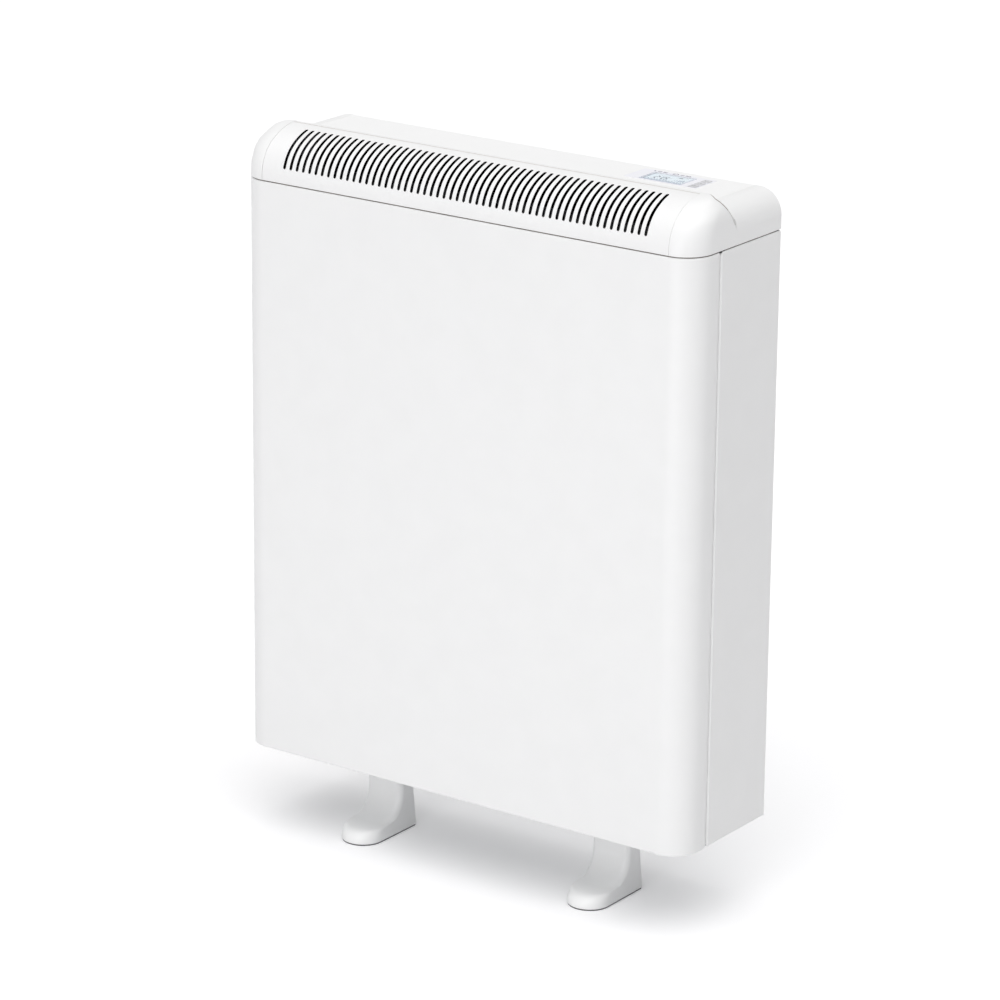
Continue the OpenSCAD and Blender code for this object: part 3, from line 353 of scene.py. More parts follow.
def make_finishes(tones):
    """Every finish of the heater by name. A record's slot and its main finish share a name."""
    def tone(base):
        return tuple(getattr(tones, base)) if isinstance(base, str) else base

    made = {
        "zinc_sheet": spangled("zinc_sheet", tone("zinc")),
        "display_clear": clear("display_clear"),
        "circuit_board": board("circuit_board"),
        "insulating_board": fibrous("insulating_board", (0.62, 0.56, 0.44), 0.92),
        "insulating_felt": fibrous("insulating_felt", (0.74, 0.72, 0.66), 0.96),
        "element_sheath": tinted_steel("element_sheath"),
    }
    for name, (base, rough, grain, depth, more) in PLAIN.items():
        made[name] = plain(name, tone(base), rough, grain, depth * MM, **more)
    for name, (base, spot, rough, scale, grain, depth, share) in SPECKLED.items():
        made[name] = speckled(name, tone(base), spot, rough, scale, grain, depth * MM, share)
    return made


FINISHES = {}


def finish(name):
    """The finish of that name, made with all the others when the first is asked for."""
    if not FINISHES:
        FINISHES.update(make_finishes(bpy.context.scene.heater_colours))
    return FINISHES[name]


# ---------- Shapes ----------


class Shape:
    """Points and faces of one piece, in metres."""

    def __init__(self):
        self.points = []
        self.faces = []
        self.marks = []

    def row(self, points):
        """Adds points and gives their numbers."""
        first = len(self.points)
        self.points.extend(tuple(p) for p in points)
        return list(range(first, len(self.points)))

    def face(self, corners, mark=0):
        """Adds one face. The mark is the place of its finish in the piece's list."""
        self.faces.append(tuple(corners))
        self.marks.append(mark)

    def strip(self, low, high, closed=False, mark=0):
        """Four-sided faces between two rows of one length."""
        n = len(low)
        for j in range(n if closed else n - 1):
            k = (j + 1) % n
            self.face((low[j], low[k], high[k], high[j]), mark)

    def loft(self, rings, mark=0):
        """Closed body through rings of points."""
        rows = [self.row(ring) for ring in rings]
        for low, high in zip(rows, rows[1:]):
            self.strip(low, high, True, mark)
        self.face(reversed(rows[0]), mark)
        self.face(rows[-1], mark)

    def block(self, low, high, mark=0):
        """Box between two corners."""
        x, y = (low[0] + high[0]) / 2, (low[1] + high[1]) / 2
        w, d = (high[0] - low[0]) / 2, (high[1] - low[1]) / 2
        self.loft([slab_ring(x, y, w, d, 0.0, z) for z in (low[2], high[2])], mark)


def quarter(steps):
    """Angles of a quarter turn, in even steps from nothing."""
    return [math.pi / 2 * i / steps for i in range(steps + 1)]


def slab_ring(x, y, w, d, r, z, steps=5):
    """Rectangle with rounded corners at one height."""
    if r <= 0:
        return [(x + w, y - d, z), (x + w, y + d, z), (x - w, y + d, z), (x - w, y - d, z)]
    ring = []
    for k, (sx, sy) in enumerate([(1, -1), (1, 1), (-1, 1), (-1, -1)]):
        for i in range(steps + 1):
            a = math.pi / 2 * (k - 1 + i / steps)
            ring.append((x + sx * (w - r) + r * math.cos(a),
                         y + sy * (d - r) + r * math.sin(a), z))
    return ring


def disc_ring(x, y, r, z, steps=32):
    """Circle at one height."""
    turn = [2 * math.pi * i / steps for i in range(steps)]
    return [(x + r * math.cos(a), y + r * math.sin(a), z) for a in turn]


def mirrored(shape):
    """The same shape at the left-hand end."""
    other = Shape()
    other.points = [(-x, y, z) for x, y, z in shape.points]
    other.faces = [tuple(reversed(f)) for f in shape.faces]
    other.marks = list(shape.marks)
    return other


def placed(name, data):
    """A new object of that data, in the scene."""
    made = bpy.data.objects.new(name, data)
    bpy.context.scene.collection.objects.link(made)
    return made


def raw(name, shape):
    """A plain object with the shape's closed mesh."""
    mesh = bpy.data.meshes.new(name)
    mesh.from_pydata(shape.points, [], shape.faces)
    mesh.polygons.foreach_set("material_index", shape.marks)
    work = bmesh.new()
    work.from_mesh(mesh)
    bmesh.ops.remove_doubles(work, verts=work.verts, dist=0.0005 * MM)
    bmesh.ops.recalc_face_normals(work, faces=work.faces)
    work.to_mesh(mesh)
    work.free()
    return placed(name, mesh)


def combine(target, shape, operation):
    """Joins a shape to the target's mesh, or cuts it out."""
    tool = raw("tool", shape)
    step = target.modifiers.new("combine", "BOOLEAN")
    step.operation = operation
    step.solver = "EXACT"
    step.object = tool
    shown = target.evaluated_get(bpy.context.evaluated_depsgraph_get())
    mesh = bpy.data.meshes.new_from_object(shown)
    target.modifiers.clear()
    target.data = mesh
    bpy.data.objects.remove(tool)


def dress(made, finishes, nodes=(), body="heater", crease=32.0):
    """Gives an object its finishes and smooth shading, hangs it under its body, and hides the
    imported solids that it stands for.
    """
    mesh = made.data
    mesh.name = made.name
    marks = [face.material_index for face in mesh.polygons]
    mesh.materials.clear()
    for name in finishes:
        mesh.materials.append(finish(name))
    mesh.polygons.foreach_set("material_index", marks)
    mesh.shade_smooth()
    mesh.set_sharp_from_angle(angle=math.radians(crease))
    even = made.modifiers.new("even", "WEIGHTED_NORMAL")
    even.keep_sharp = True
    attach(made, body)
    if nodes:
        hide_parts(*nodes)
    return made


# ---------- Folded sheet ----------


def folded_path(corners):
    """Stations along a plan path with rounded corners: point, and normal to its left."""
    stations = []
    for i, (x, y, r, steps) in enumerate(corners):
        here = Vector((x, y))
        before = (here - Vector(corners[i - 1][:2])).normalized() if i else None
        after = (Vector(corners[i + 1][:2]) - here).normalized() if i < len(corners) - 1 else None
        if before is None or after is None:
            way = after or before
            stations.append((here, Vector((-way.y, way.x))))
            continue
        turn = before.angle_signed(after) * -1
        reach = r * math.tan(abs(turn) / 2)
        left = Vector((-before.y, before.x))
        side = 1 if turn > 0 else -1
        middle = here - before * reach + left * r * side
        for k in range(steps + 1):
            normal = Matrix.Rotation(turn * k / steps, 2) @ left
            stations.append((middle - normal * r * side, normal))
    return stations


def sheet_section(z0, thick, depth=0, z1=PANEL_TOP):
    """Section of a sheet as inset and height: a fold of some depth at its foot, a rolled top."""
    turn = quarter(4)
    bend, edge = FOOT_BEND, CUT_EDGE
    if depth > bend:
        foot = [(bend * (1 - math.cos(a)), z0 + bend * (1 - math.sin(a))) for a in turn]
        inner = max(bend - thick, 0.1 * MM)
        tip = [(depth - edge * 0.5, z0), (depth, z0 + edge * 0.5),
               (depth, z0 + thick - edge * 0.5), (depth - edge * 0.5, z0 + thick)]
        rise = [(thick + inner * (1 - math.sin(a)), z0 + thick + inner * (1 - math.cos(a)))
                for a in turn]
    else:
        foot = [(edge * (1 - math.cos(a)), z0 + edge * (1 - math.sin(a))) for a in turn]
        tip = [(thick - edge * (1 - math.sin(a)), z0 + edge * (1 - math.cos(a))) for a in turn[1:]]
        rise = [(thick, z0 + edge + 0.1 * MM * (k + 1)) for k in range(len(turn))]
    roll = 2.2 * MM
    rolled = [math.pi / 3 * i / 5 for i in range(6)]
    low = z1 - roll * math.sin(rolled[-1])
    inside = [(roll - (roll - thick) * math.cos(a), low + (roll - thick) * math.sin(a))
              for a in rolled]
    outside = [(roll - roll * math.cos(a), low + roll * math.sin(a)) for a in reversed(rolled)]
    return foot + tip + rise + inside + outside


def sheet_shape(stations):
    """Folded sheet through stations of point, normal and section."""
    shape = Shape()
    rings = [[(p.x + n.x * o, p.y + n.y * o, z) for o, z in section] for p, n, section in stations]
    shape.loft(rings)
    return shape


def eased_corner(stations, count, thick, reach=1.5 * MM, steps=5):
    """Stations whose first ones, up to a joint, are lowered and led up to the full height."""
    made = []
    for p, n, _ in stations[:count + 1]:
        low = UNDER_Z + (0.0 if made else FOLD_LIFT)
        made.append((p, n, sheet_section(low, thick, z1=PANEL_TOP - reach)))
    way = (stations[count + 1][0] - p).normalized()
    for a in quarter(steps)[1:]:
        top = PANEL_TOP - reach * (1 - math.sin(a))
        along = reach * (1 - math.cos(a)) + 0.02 * MM
        made.append((p + way * along, n, sheet_section(UNDER_Z, thick, z1=top)))
    return made + stations[count + 1:]


def front_sheet(sizes):
    """Front panel in one piece with its corners, its returns and its folds."""
    t = sizes.sheet
    lip = HALF_W - t - 8 * MM
    # The return leans in a little before its fold: from near on, over the last bow of its depth
    near, bow, bow_r = HALF_W - 1.5 * MM, 6 * MM, 18 * MM
    right = [(HALF_W, FRONT_Y, sizes.corner, 40), (HALF_W, JOINT_Y - bow, bow_r, 4),
             (near, JOINT_Y, 1.0 * MM, 4), (lip, JOINT_Y, 0, 0)]
    path = folded_path([(-x, *rest) for x, *rest in reversed(right)] + right)
    plain_foot = sheet_section(UNDER_Z, t)
    fold_foot = sheet_section(UNDER_Z + FOLD_LIFT, t)
    sill = sheet_section(UNDER_Z, t, sizes.sill)
    tab = sheet_section(UNDER_Z, t, 26 * MM)
    straight = HALF_W - sizes.corner
    stations = []
    for p, n in path:
        in_fold = abs(p.x) < lip + 0.5 * MM and p.y > FRONT_Y + sizes.corner
        stations.append((p, n, fold_foot if in_fold else plain_foot))
    stations = eased_corner(stations, 5, t)
    stations = eased_corner(stations[::-1], 5, t)[::-1]
    half = len(stations) // 2
    tab_x, tab_w, step = middle("cable_grommet")[0], 10 * MM, 0.2 * MM
    steps = [(-straight + step, sill), (-tab_x - tab_w, sill), (-tab_x - tab_w + step, tab),
             (-tab_x + tab_w - step, tab), (-tab_x + tab_w, sill)]
    steps += [(-x, section) for x, section in reversed(steps)]
    front = [(Vector((x, FRONT_Y)), Vector((0, 1)), section) for x, section in steps]
    return sheet_shape(stations[:half] + front + stations[half:])


def side_sheet(sizes):
    """Right-hand side panel with its folds."""
    t = sizes.sheet
    slant_r, slant_steps = 0.3 * MM, 3
    path = folded_path([
        (HALF_W - t - 8.5 * MM, SIDE_Y, 0, 0),
        (HALF_W - 1.9 * MM, SIDE_Y, slant_r, slant_steps),
        (HALF_W, SIDE_Y + sizes.slant, slant_r, slant_steps),
        (HALF_W, BACK_Y, sizes.bend, 6), (HALF_W - t - 12 * MM, BACK_Y, 0, 0),
    ])
    fold = sheet_section(UNDER_Z + FOLD_LIFT, t)
    plain_foot = sheet_section(UNDER_Z, t)
    ledge = sheet_section(UNDER_Z, t, sizes.ledge)
    stations = [(p, n, fold if i == 0 else plain_foot) for i, (p, n) in enumerate(path)]
    flat = [(Vector((HALF_W, y)), Vector((-1, 0)), ledge)
            for y in (SIDE_Y + sizes.slant + 2.4 * MM, BACK_Y - sizes.bend - 0.2 * MM)]
    first = 1 + 2 * (slant_steps + 1)
    stations = stations[:first] + flat + stations[first:]
    return sheet_shape(eased_corner(stations, first - 1, t))


# ---------- Nose ----------


class Nose:
    """Outline of the bull nose from the seam, over the crest and down to the deck."""

    def __init__(self, sizes):
        self.band = sizes.band
        self.r = sizes.nose
        self.crest_y = FRONT_Y + sizes.crest_set
        self.rise = CREST_Z - SEAM_Z
        run = sizes.crest_set - self.r
        lift = self.rise - self.band
        self.brow = (run * run + lift * lift - self.r * self.r) / (2 * (lift - self.r))
        self.turn = math.atan2(self.brow - lift, run)
        self.cy = FRONT_Y + self.r
        self.cz = SEAM_Z + self.band
        self.brow_z = CREST_Z - self.brow
        self.nose_end = self.band + self.r * self.turn
        self.crest_s = self.nose_end + self.brow * (math.pi / 2 - self.turn)
        self.land = 1.0 * MM
        self.slope = 0.64
        self.round = 1.8 * MM
        self.back_turn = math.atan2(1, self.slope)
        self.round_y = self.crest_y + self.land - self.round * math.tan(self.back_turn / 2)
        self.round_z = CREST_Z - self.round

    def at(self, s):
        """Point and outward normal (y, z, ny, nz) at a distance along the outline."""
        if s <= self.band:
            return FRONT_Y, SEAM_Z + s, -1.0, 0.0
        if s <= self.nose_end:
            a = (s - self.band) / self.r
            return (self.cy - self.r * math.cos(a), self.cz + self.r * math.sin(a),
                    -math.cos(a), math.sin(a))
        a = self.turn + (s - self.nose_end) / self.brow
        return (self.crest_y - self.brow * math.cos(a), self.brow_z + self.brow * math.sin(a),
                -math.cos(a), math.sin(a))

    def length_at(self, h):
        """Distance along the outline at a height above the seam."""
        if h <= self.band:
            return h
        a = math.asin(min(1.0, (h - self.band) / self.r))
        if a <= self.turn:
            return self.band + self.r * a
        a = math.asin(min(1.0, (h + SEAM_Z - self.brow_z) / self.brow))
        return self.nose_end + self.brow * (a - self.turn)

    def face(self, h, wall):
        """Depth of the front face at a height above the seam, set back by a wall."""
        r = self.r - wall
        if h <= self.band:
            return FRONT_Y + wall
        if h <= self.band + r * math.sin(self.turn):
            return self.cy - math.sqrt(max(0.0, r * r - (h - self.band) ** 2))
        r = self.brow - wall
        return self.crest_y - math.sqrt(max(0.0, r * r - (h + SEAM_Z - self.brow_z) ** 2))

    def back(self, h, wall):
        """Depth of the back face at a height above the seam."""
        drop = self.rise - self.round + self.round * math.cos(self.back_turn) - h
        if drop < 0 and wall == 0:
            up = h + SEAM_Z - self.round_z
            return self.round_y + math.sqrt(max(0.0, self.round ** 2 - up * up))
        return self.crest_y + self.land - wall + (self.rise - h) * self.slope

    def side(self, h, wall, end):
        """Side of the nose's rounded end at a height above the seam."""
        rise = h - (self.rise - end)
        r = end - wall
        return HALF_W - end + (r if rise <= 0 else math.sqrt(max(0.0, r * r - rise * rise)))


def spaced(low, high, step):
    """Even places from low to high, about a step apart."""
    n = max(1, round((high - low) / step))
    return [low + (high - low) * i / n for i in range(n + 1)]


def set_in(place, depth):
    """A place on an outline moved in along its normal, as (y, z)."""
    y, z, ny, nz = place
    return y - ny * depth, z - nz * depth


def grille_rows(nose, zone_low, zone_high, wall):
    """Rows of the grille's section below and above its slots: outer place, inner place, mark."""
    edge = 0.4 * MM
    foot = nose.at(0)
    below = [(set_in(foot, edge), set_in(foot, wall), 0),
             (set_in(nose.at(edge * 0.3), edge * 0.3), set_in(nose.at(edge * 0.3), wall), 0)]
    lower = spaced(edge, nose.band, 2 * MM) + spaced(nose.band, zone_low, 2 * MM)[1:]
    below += [(set_in(nose.at(s), 0), set_in(nose.at(s), wall), 0) for s in lower]
    # Above the slots: the face, the fine line along the crest as a shallow groove whose floor is
    # painted grey shade, the crest
    groove, line, sunk = nose.crest_s - 6.0 * MM, 1.9 * MM, 0.3 * MM
    above = [(s, 0, 0) for s in spaced(zone_high, groove, 2 * MM)]
    above += [(groove, sunk, 3), (groove + line, sunk, 3), (groove + line, 0, 0)]
    above += [(s, 0, 0) for s in spaced(groove + line, nose.crest_s - 1.5 * MM, 2 * MM)[1:]]
    above = [(set_in(nose.at(s), d), set_in(nose.at(s), wall), mark) for s, d, mark in above]
    crest_steps = 6
    for i in range(crest_steps + 1):
        a = math.pi / 2 - nose.back_turn * i / crest_steps
        outer = (nose.round_y + nose.round * math.cos(a), nose.round_z + nose.round * math.sin(a))
        inner = (nose.round_y + 0.1 * MM * math.cos(a), nose.round_z + 0.1 * MM * math.sin(a))
        above.append((outer, inner, 0))
    under = DECK_Z - 1.0 * MM
    h = under - SEAM_Z
    n = Vector((1.0, nose.slope)).normalized()
    foot_y = nose.back(h, 0)
    above.append(((foot_y, under), (foot_y - n.x * wall - 1.4 * MM, under - wall), 0))
    above.append(((LEDGE_Y, under), (LEDGE_Y, under - wall), 0))
    return below, above


def grille_shape(sizes):
    """Bull-nosed moulding with its row of round-ended slots."""
    shape = Shape()
    nose = Nose(sizes)
    wall = 2.0 * MM
    lip = 0.15 * MM
    pitch, width, count = sizes.slot_pitch, sizes.slot_width, sizes.slot_count
    r = width / 2
    low = nose.length_at(sizes.slot_low) + r
    high = nose.length_at(sizes.slot_high) - r
    # The slots' zone reaches past their round ends by a margin
    margin = r + 2.6 * MM
    zone_low, zone_high = low - margin, high + margin
    straight = spaced(low, high, 2.2 * MM)
    half = count * pitch / 2

    # Columns as place and how far the outer skin is eased in there
    ease = 0.25 * MM
    ends = [(half, 0.0), (half + 8 * MM, 0.0), (half + 16 * MM, 0.0), (MID_X - ease, 0.0),
            (MID_X, ease)]
    inner_cols = [(-half + pitch * i / 4, 0.0) for i in range(1, 4 * count)]
    columns = [(-x, d) for x, d in reversed(ends)] + inner_cols + ends
    below, above = grille_rows(nose, zone_low, zone_high, wall)

    def grid(rows, cols):
        skins = []
        for side in (0, 1):
            ids = []
            for row in rows:
                (y, z), (yi, zi) = row[side], row[1]
                reach = math.hypot(yi - y, zi - z) or 1.0
                ids.append(shape.row([
                    (x, y + (yi - y) * d / reach if side == 0 else y,
                     z + (zi - z) * d / reach if side == 0 else z) for x, d in cols]))
            # The inner skin takes mark 1, painted black shade; the outer skin takes each row's
            # mark.
            for k, (a, b) in enumerate(zip(ids, ids[1:])):
                shape.strip(a, b, mark=1 if side else rows[k][2])
            skins.append(ids)
        return skins

    lower = grid(below, columns)
    shape.strip(lower[0][0], lower[1][0])
    upper = grid(above, columns)
    shape.strip(upper[0][-1], upper[1][-1])
    for skins in (lower, upper):
        for edge in (0, -1):
            outer = [ids[edge] for ids in skins[0]]
            inner = [ids[edge] for ids in skins[1]]
            shape.strip(outer, inner)
    middle_s = [zone_low, (zone_low + low) / 2, *straight, (high + zone_high) / 2, zone_high]
    middle = [(set_in(nose.at(s), 0), set_in(nose.at(s), wall), 0) for s in middle_s]
    for cols, edge in (([(-x, d) for x, d in reversed(ends)], 0), (ends, -1)):
        skins = grid(middle, cols)
        shape.strip([ids[edge] for ids in skins[0]], [ids[edge] for ids in skins[1]])

    def place(x, s, depth):
        y, z = set_in(nose.at(s), depth)
        return x, y, z

    steps = 8
    turn = [math.pi * i / steps for i in range(1, steps)]

    def slot_loop(x, w, depth):
        loop = [place(x + w, s, depth) for s in straight]
        loop += [place(x + w * math.cos(a), high + w * math.sin(a), depth) for a in turn]
        loop += [place(x - w, s, depth) for s in reversed(straight)]
        loop += [place(x - w * math.cos(a), low - w * math.sin(a), depth) for a in turn]
        return loop

    def cell_loop(x, depth):
        q = pitch / 2
        tops = [(q, (high + zone_high) / 2), (q, zone_high), (q / 2, zone_high), (0, zone_high)]
        feet = [(q, (low + zone_low) / 2), (q, zone_low), (q / 2, zone_low), (0, zone_low)]
        loop = [place(x + q, s, depth) for s in straight]
        loop += [place(x + dx, s, depth) for dx, s in tops]
        loop += [place(x - dx, s, depth) for dx, s in reversed(tops[:3])]
        loop += [place(x - q, s, depth) for s in reversed(straight)]
        loop += [place(x - dx, s, depth) for dx, s in feet]
        loop += [place(x + dx, s, depth) for dx, s in reversed(feet[:3])]
        return loop

    for i in range(count):
        x = (i - (count - 1) / 2) * pitch
        # Past the lip, the slot's wall and the inner skin take mark 1, painted black shade.
        loops = [(cell_loop(x, 0.0), 0), (slot_loop(x, r + lip, 0.0), 0)]
        for a, mark in zip(quarter(3)[1:], (0, 0, 1)):
            loops.append((slot_loop(x, r + lip * (1 - math.sin(a)), lip * (1 - math.cos(a))),
                          mark))
        loops += [(slot_loop(x, r, wall), 1), (cell_loop(x, wall), 1)]
        rows = [shape.row(loop) for loop, _ in loops]
        for k in range(len(rows) - 1):
            shape.strip(rows[k], rows[k + 1], True, loops[k][1])

    # Strap behind the joint with each end
    strap = ((MID_X - 1 * MM, 0.9 * MM), (CAP_X + 0.6 * MM, 0.9 * MM),
             (CAP_X + 0.6 * MM, 1.9 * MM), (MID_X - 1 * MM, 1.9 * MM))
    for side in (-1, 1):
        shape.loft([[(side * x, *set_in(nose.at(s), d)) for x, d in strap]
                    for s in spaced(1.0 * MM, nose.crest_s - 9.0 * MM, 3 * MM)])

    # Plate behind the slots in painted black shade, and the skirt in painted grey shade, which
    # shows in the seam under the nose
    plate_x = MID_X - 14 * MM
    shape.block((-plate_x, LEDGE_Y - 2.6 * MM, SEAM_Z + 4 * MM),
                (plate_x, LEDGE_Y - 1.4 * MM, DECK_Z - 2.8 * MM), 1)
    skirt_x, skirt_y = MID_X - 10 * MM, FRONT_Y + SKIRT
    shape.block((-skirt_x, skirt_y, SKIRT_LOW), (skirt_x, skirt_y + wall, SKIRT_TOP), 2)
    return shape


# ---------- Moulded ends ----------


def nose_ring(nose, sizes, h, wall, x0, steps=26, fillet=10 * MM):
    """Ring round a nose end at one height: front face, swept corner, side and back."""
    yf, yb = nose.face(h, wall), nose.back(h, wall)
    xs = nose.side(h, wall, sizes.end)
    rx = xs - CAP_X
    f = max(0.02 * MM, min(fillet, 0.45 * (yb - yf), 0.8 * rx))
    ry = min(sizes.corner - wall, (yb - yf - f) * 0.98)
    z = SEAM_Z + h
    swept = [(CAP_X + rx * math.sin(a), yf + ry * (1 - math.cos(a)), z)
             for a in quarter(steps)[1:]]
    rear = [(xs - f + f * math.cos(a), yb - f + f * math.sin(a), z) for a in quarter(8)]
    return [(x0, yf, z), *swept, *rear, (x0, yb, z)]


def nose_end(nose, sizes, wall, x0, foot, levels=40):
    """Rounded end of the nose, set in by a wall, from a foot height above the seam.

    A wall below zero sets it out instead, from nothing at the foot to the full amount higher up.
    """
    shape = Shape()
    top = nose.rise - max(wall, 0) - 0.004 * MM
    heights = [nose.band + (top - nose.band) * math.sin(a) for a in quarter(levels)]
    if wall < 0:
        low, high = 14 * MM, 34 * MM
        shape.loft([
            nose_ring(nose, sizes, h, wall * min(1.0, max(0.0, (h - low) / (high - low))), x0)
            for h in heights
        ])
        return shape
    rounding = [(foot, wall)]
    if wall == 0:
        edge = 0.4 * MM
        rounding = [(foot + edge * (1 - math.cos(a)), edge * (1 - math.sin(a)))
                    for a in quarter(3)[:-1]]
        rounding.append((foot + edge, 0.0))
    rings = [nose_ring(nose, sizes, h, inset, x0) for h, inset in rounding]
    rings += [nose_ring(nose, sizes, h, wall, x0) for h in heights]
    shape.loft(rings)
    return shape


def shoulder(sizes, wall, x0, z0, steps=28):
    """Rear shoulder of a moulded end, set in by a wall, from a foot height."""
    shape = Shape()
    cx = HALF_W - sizes.shoulder
    cz = DECK_Z - sizes.shoulder
    y0 = FRONT_Y + sizes.crest_set - 5 * MM
    y1 = BACK_Y - wall

    def ring(y, inset):
        w = wall + inset
        r = sizes.shoulder - w
        foot = 0.4 * MM if wall == 0 else 0.0
        points = [(x0, y, z0), (x0, y, DECK_Z - w)]
        points += [(cx + r * math.sin(a), y, cz + r * math.cos(a)) for a in quarter(steps)]
        points += [(HALF_W - w, y, z0 + foot), (HALF_W - w - foot * 0.3, y, z0 + foot * 0.3),
                   (HALF_W - w - foot, y, z0)]
        return points

    edge = 1.2 * MM if wall == 0 else 0
    rings = [ring(y, 0.0) for y in spaced(y0, y1 - edge, 12 * MM)]
    if wall == 0:
        rings += [ring(y1 - edge * (1 - math.sin(a)), edge * (1 - math.cos(a)))
                  for a in quarter(4)[1:]]
    shape.loft(rings)
    return shape


def end_shape_object(sizes):
    """Moulded end with its hollow and its skirt, as an object at the right-hand end."""
    nose = Nose(sizes)
    wall = 2.5 * MM
    over = 1.0 * MM
    body = raw("right_end_moulding", shoulder(sizes, 0.0, CAP_X, SEAM_Z))
    groove, groove_floor = 0.8 * MM, 1.3 * MM
    combine(body, nose_end(nose, sizes, -groove, CAP_X - over, 0.0), "DIFFERENCE")
    combine(body, shoulder(sizes, groove_floor, CAP_X, SEAM_Z), "UNION")
    combine(body, nose_end(nose, sizes, 0.0, CAP_X, 0.0), "UNION")
    combine(body, nose_end(nose, sizes, wall, CAP_X - over, -over, 16), "DIFFERENCE")
    combine(body, shoulder(sizes, wall, CAP_X - over, SEAM_Z - over, 12), "DIFFERENCE")
    skirt = Shape()
    skirt_wall = 1.6 * MM
    path = folded_path([
        (MID_X - 9.5 * MM, FRONT_Y + SKIRT, 0, 0),
        (HALF_W - SKIRT, FRONT_Y + SKIRT, sizes.corner - SKIRT, 16),
        (HALF_W - SKIRT, JOINT_Y - 2.5 * MM, 0, 0),
    ])
    section = ((0, SKIRT_LOW), (0, SKIRT_TOP), (skirt_wall, SKIRT_TOP), (skirt_wall, SKIRT_LOW))
    skirt.loft([[(p.x + n.x * o, p.y + n.y * o, z) for o, z in section] for p, n in path])
    skirt.block((HALF_W - SKIRT - skirt_wall, JOINT_Y + 8 * MM, SKIRT_LOW),
                (HALF_W - SKIRT, BACK_Y - 8 * MM, SKIRT_TOP))
    # Rib that fills the joint between the deck and the end
    skirt.block((MID_X + 0.02 * MM, DECK_Y + 4 * MM, DECK_Z - 3 * MM),
                (CAP_X + 0.5 * MM, BACK_Y - 1.6 * MM, DECK_Z - 0.12 * MM))
    combine(body, skirt, "UNION")
    # Finishes: painted grey shade on the skirt, which shows in the seam, then painted shade down a
    # narrow strip along the rear corner of the nose, darker near the crest and paler lower down
    strip_turn, strip_reach, strip_dark = (0.2, 0.42), 30 * MM, 14 * MM
    for face in body.data.polygons:
        drop = CREST_Z - face.center.z
        turned = strip_turn[0] < face.normal.y / max(face.normal.x, 0.01) < strip_turn[1]
        if face.center.z < SEAM_Z - 0.05 * MM:
            face.material_index = 1
        elif turned and face.center.y < DECK_Y + strip_reach and drop < strip_reach:
            face.material_index = 1 if drop < strip_dark else 2
        else:
            face.material_index = 0
    return body


# ---------- Deck and control strip ----------


def deck_shape(sizes):
    """Flat deck with its rear fold."""
    shape = Shape()
    t = sizes.sheet
    edge = 0.25 * MM
    bend = 2.0 * MM
    inner = bend - t
    section = [(DECK_Y, DECK_Z - t), (DECK_Y, DECK_Z - edge), (DECK_Y + edge, DECK_Z)]
    section += [(BACK_Y - bend + bend * math.sin(a), DECK_Z - bend + bend * math.cos(a))
                for a in quarter(5)]
    section += [(BACK_Y, SEAM_Z), (BACK_Y - t, SEAM_Z)]
    section += [(BACK_Y - t - inner + inner * math.cos(a),
                 DECK_Z - t - inner + inner * math.sin(a)) for a in quarter(5)]
    shape.loft([[(x, y, z) for y, z in section] for x in (-MID_X, MID_X)])
    return shape


def middle(name):
    """Middle of a piece in plan."""
    low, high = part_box(name)
    return (low.x + high.x) / 2, (low.y + high.y) / 2


def window_place():
    """Outline of the window's visible part in plan."""
    low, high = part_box("display_window")
    flange = 2.0 * MM
    return low.x + flange, low.y + flange, high.x - flange, high.y - flange


def openings(sizes, z0, z1):
    """Bodies that cut the window's and the keys' openings between two heights."""
    shape = Shape()
    x0, y0, x1, y1 = window_place()
    shape.block((x0 - OPENING_GAP, y0 - OPENING_GAP, z0), (x1 + OPENING_GAP, y1 + OPENING_GAP, z1))
    s = sizes.key / 2 + OPENING_GAP
    for name in KEYS:
        shape.loft([slab_ring(*middle(name), s, s, OPENING_R, z) for z in (z0, z1)])
    return shape


def plate(x0, y0, x1, y1, r, z0, z1):
    """Flat body with rounded corners and an eased upper edge."""
    shape = Shape()
    x, y = (x0 + x1) / 2, (y0 + y1) / 2
    w, d = (x1 - x0) / 2, (y1 - y0) / 2
    edge = 0.12 * MM
    shape.loft([slab_ring(x, y, w - g, d - g, r - g, z) for g, z in
                ((0, z0), (0, z1 - edge), (edge * 0.3, z1 - edge * 0.3), (edge, z1))])
    return shape


def bar(shape, x0, y0, x1, y1, width, level, mark):
    """Thin raised stroke from one point to another, between the two heights of its level."""
    way = Vector((x1 - x0, y1 - y0))
    side = Vector((-way.y, way.x)).normalized() * width / 2
    a, b = Vector((x0, y0)), Vector((x1, y1))
    ring = [a + side, a - side, b - side, b + side]
    shape.loft([[(p.x, p.y, z) for p in ring] for z in level], mark)


def label_object(sizes):
    """Pale film with its openings, as an object."""
    low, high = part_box("control_label")
    made = raw("printed_label", plate(low.x, low.y, high.x, high.y, 1.2 * MM, low.z, high.z))
    combine(made, openings(sizes, low.z - 1 * MM, high.z + 1 * MM), "DIFFERENCE")
    return made


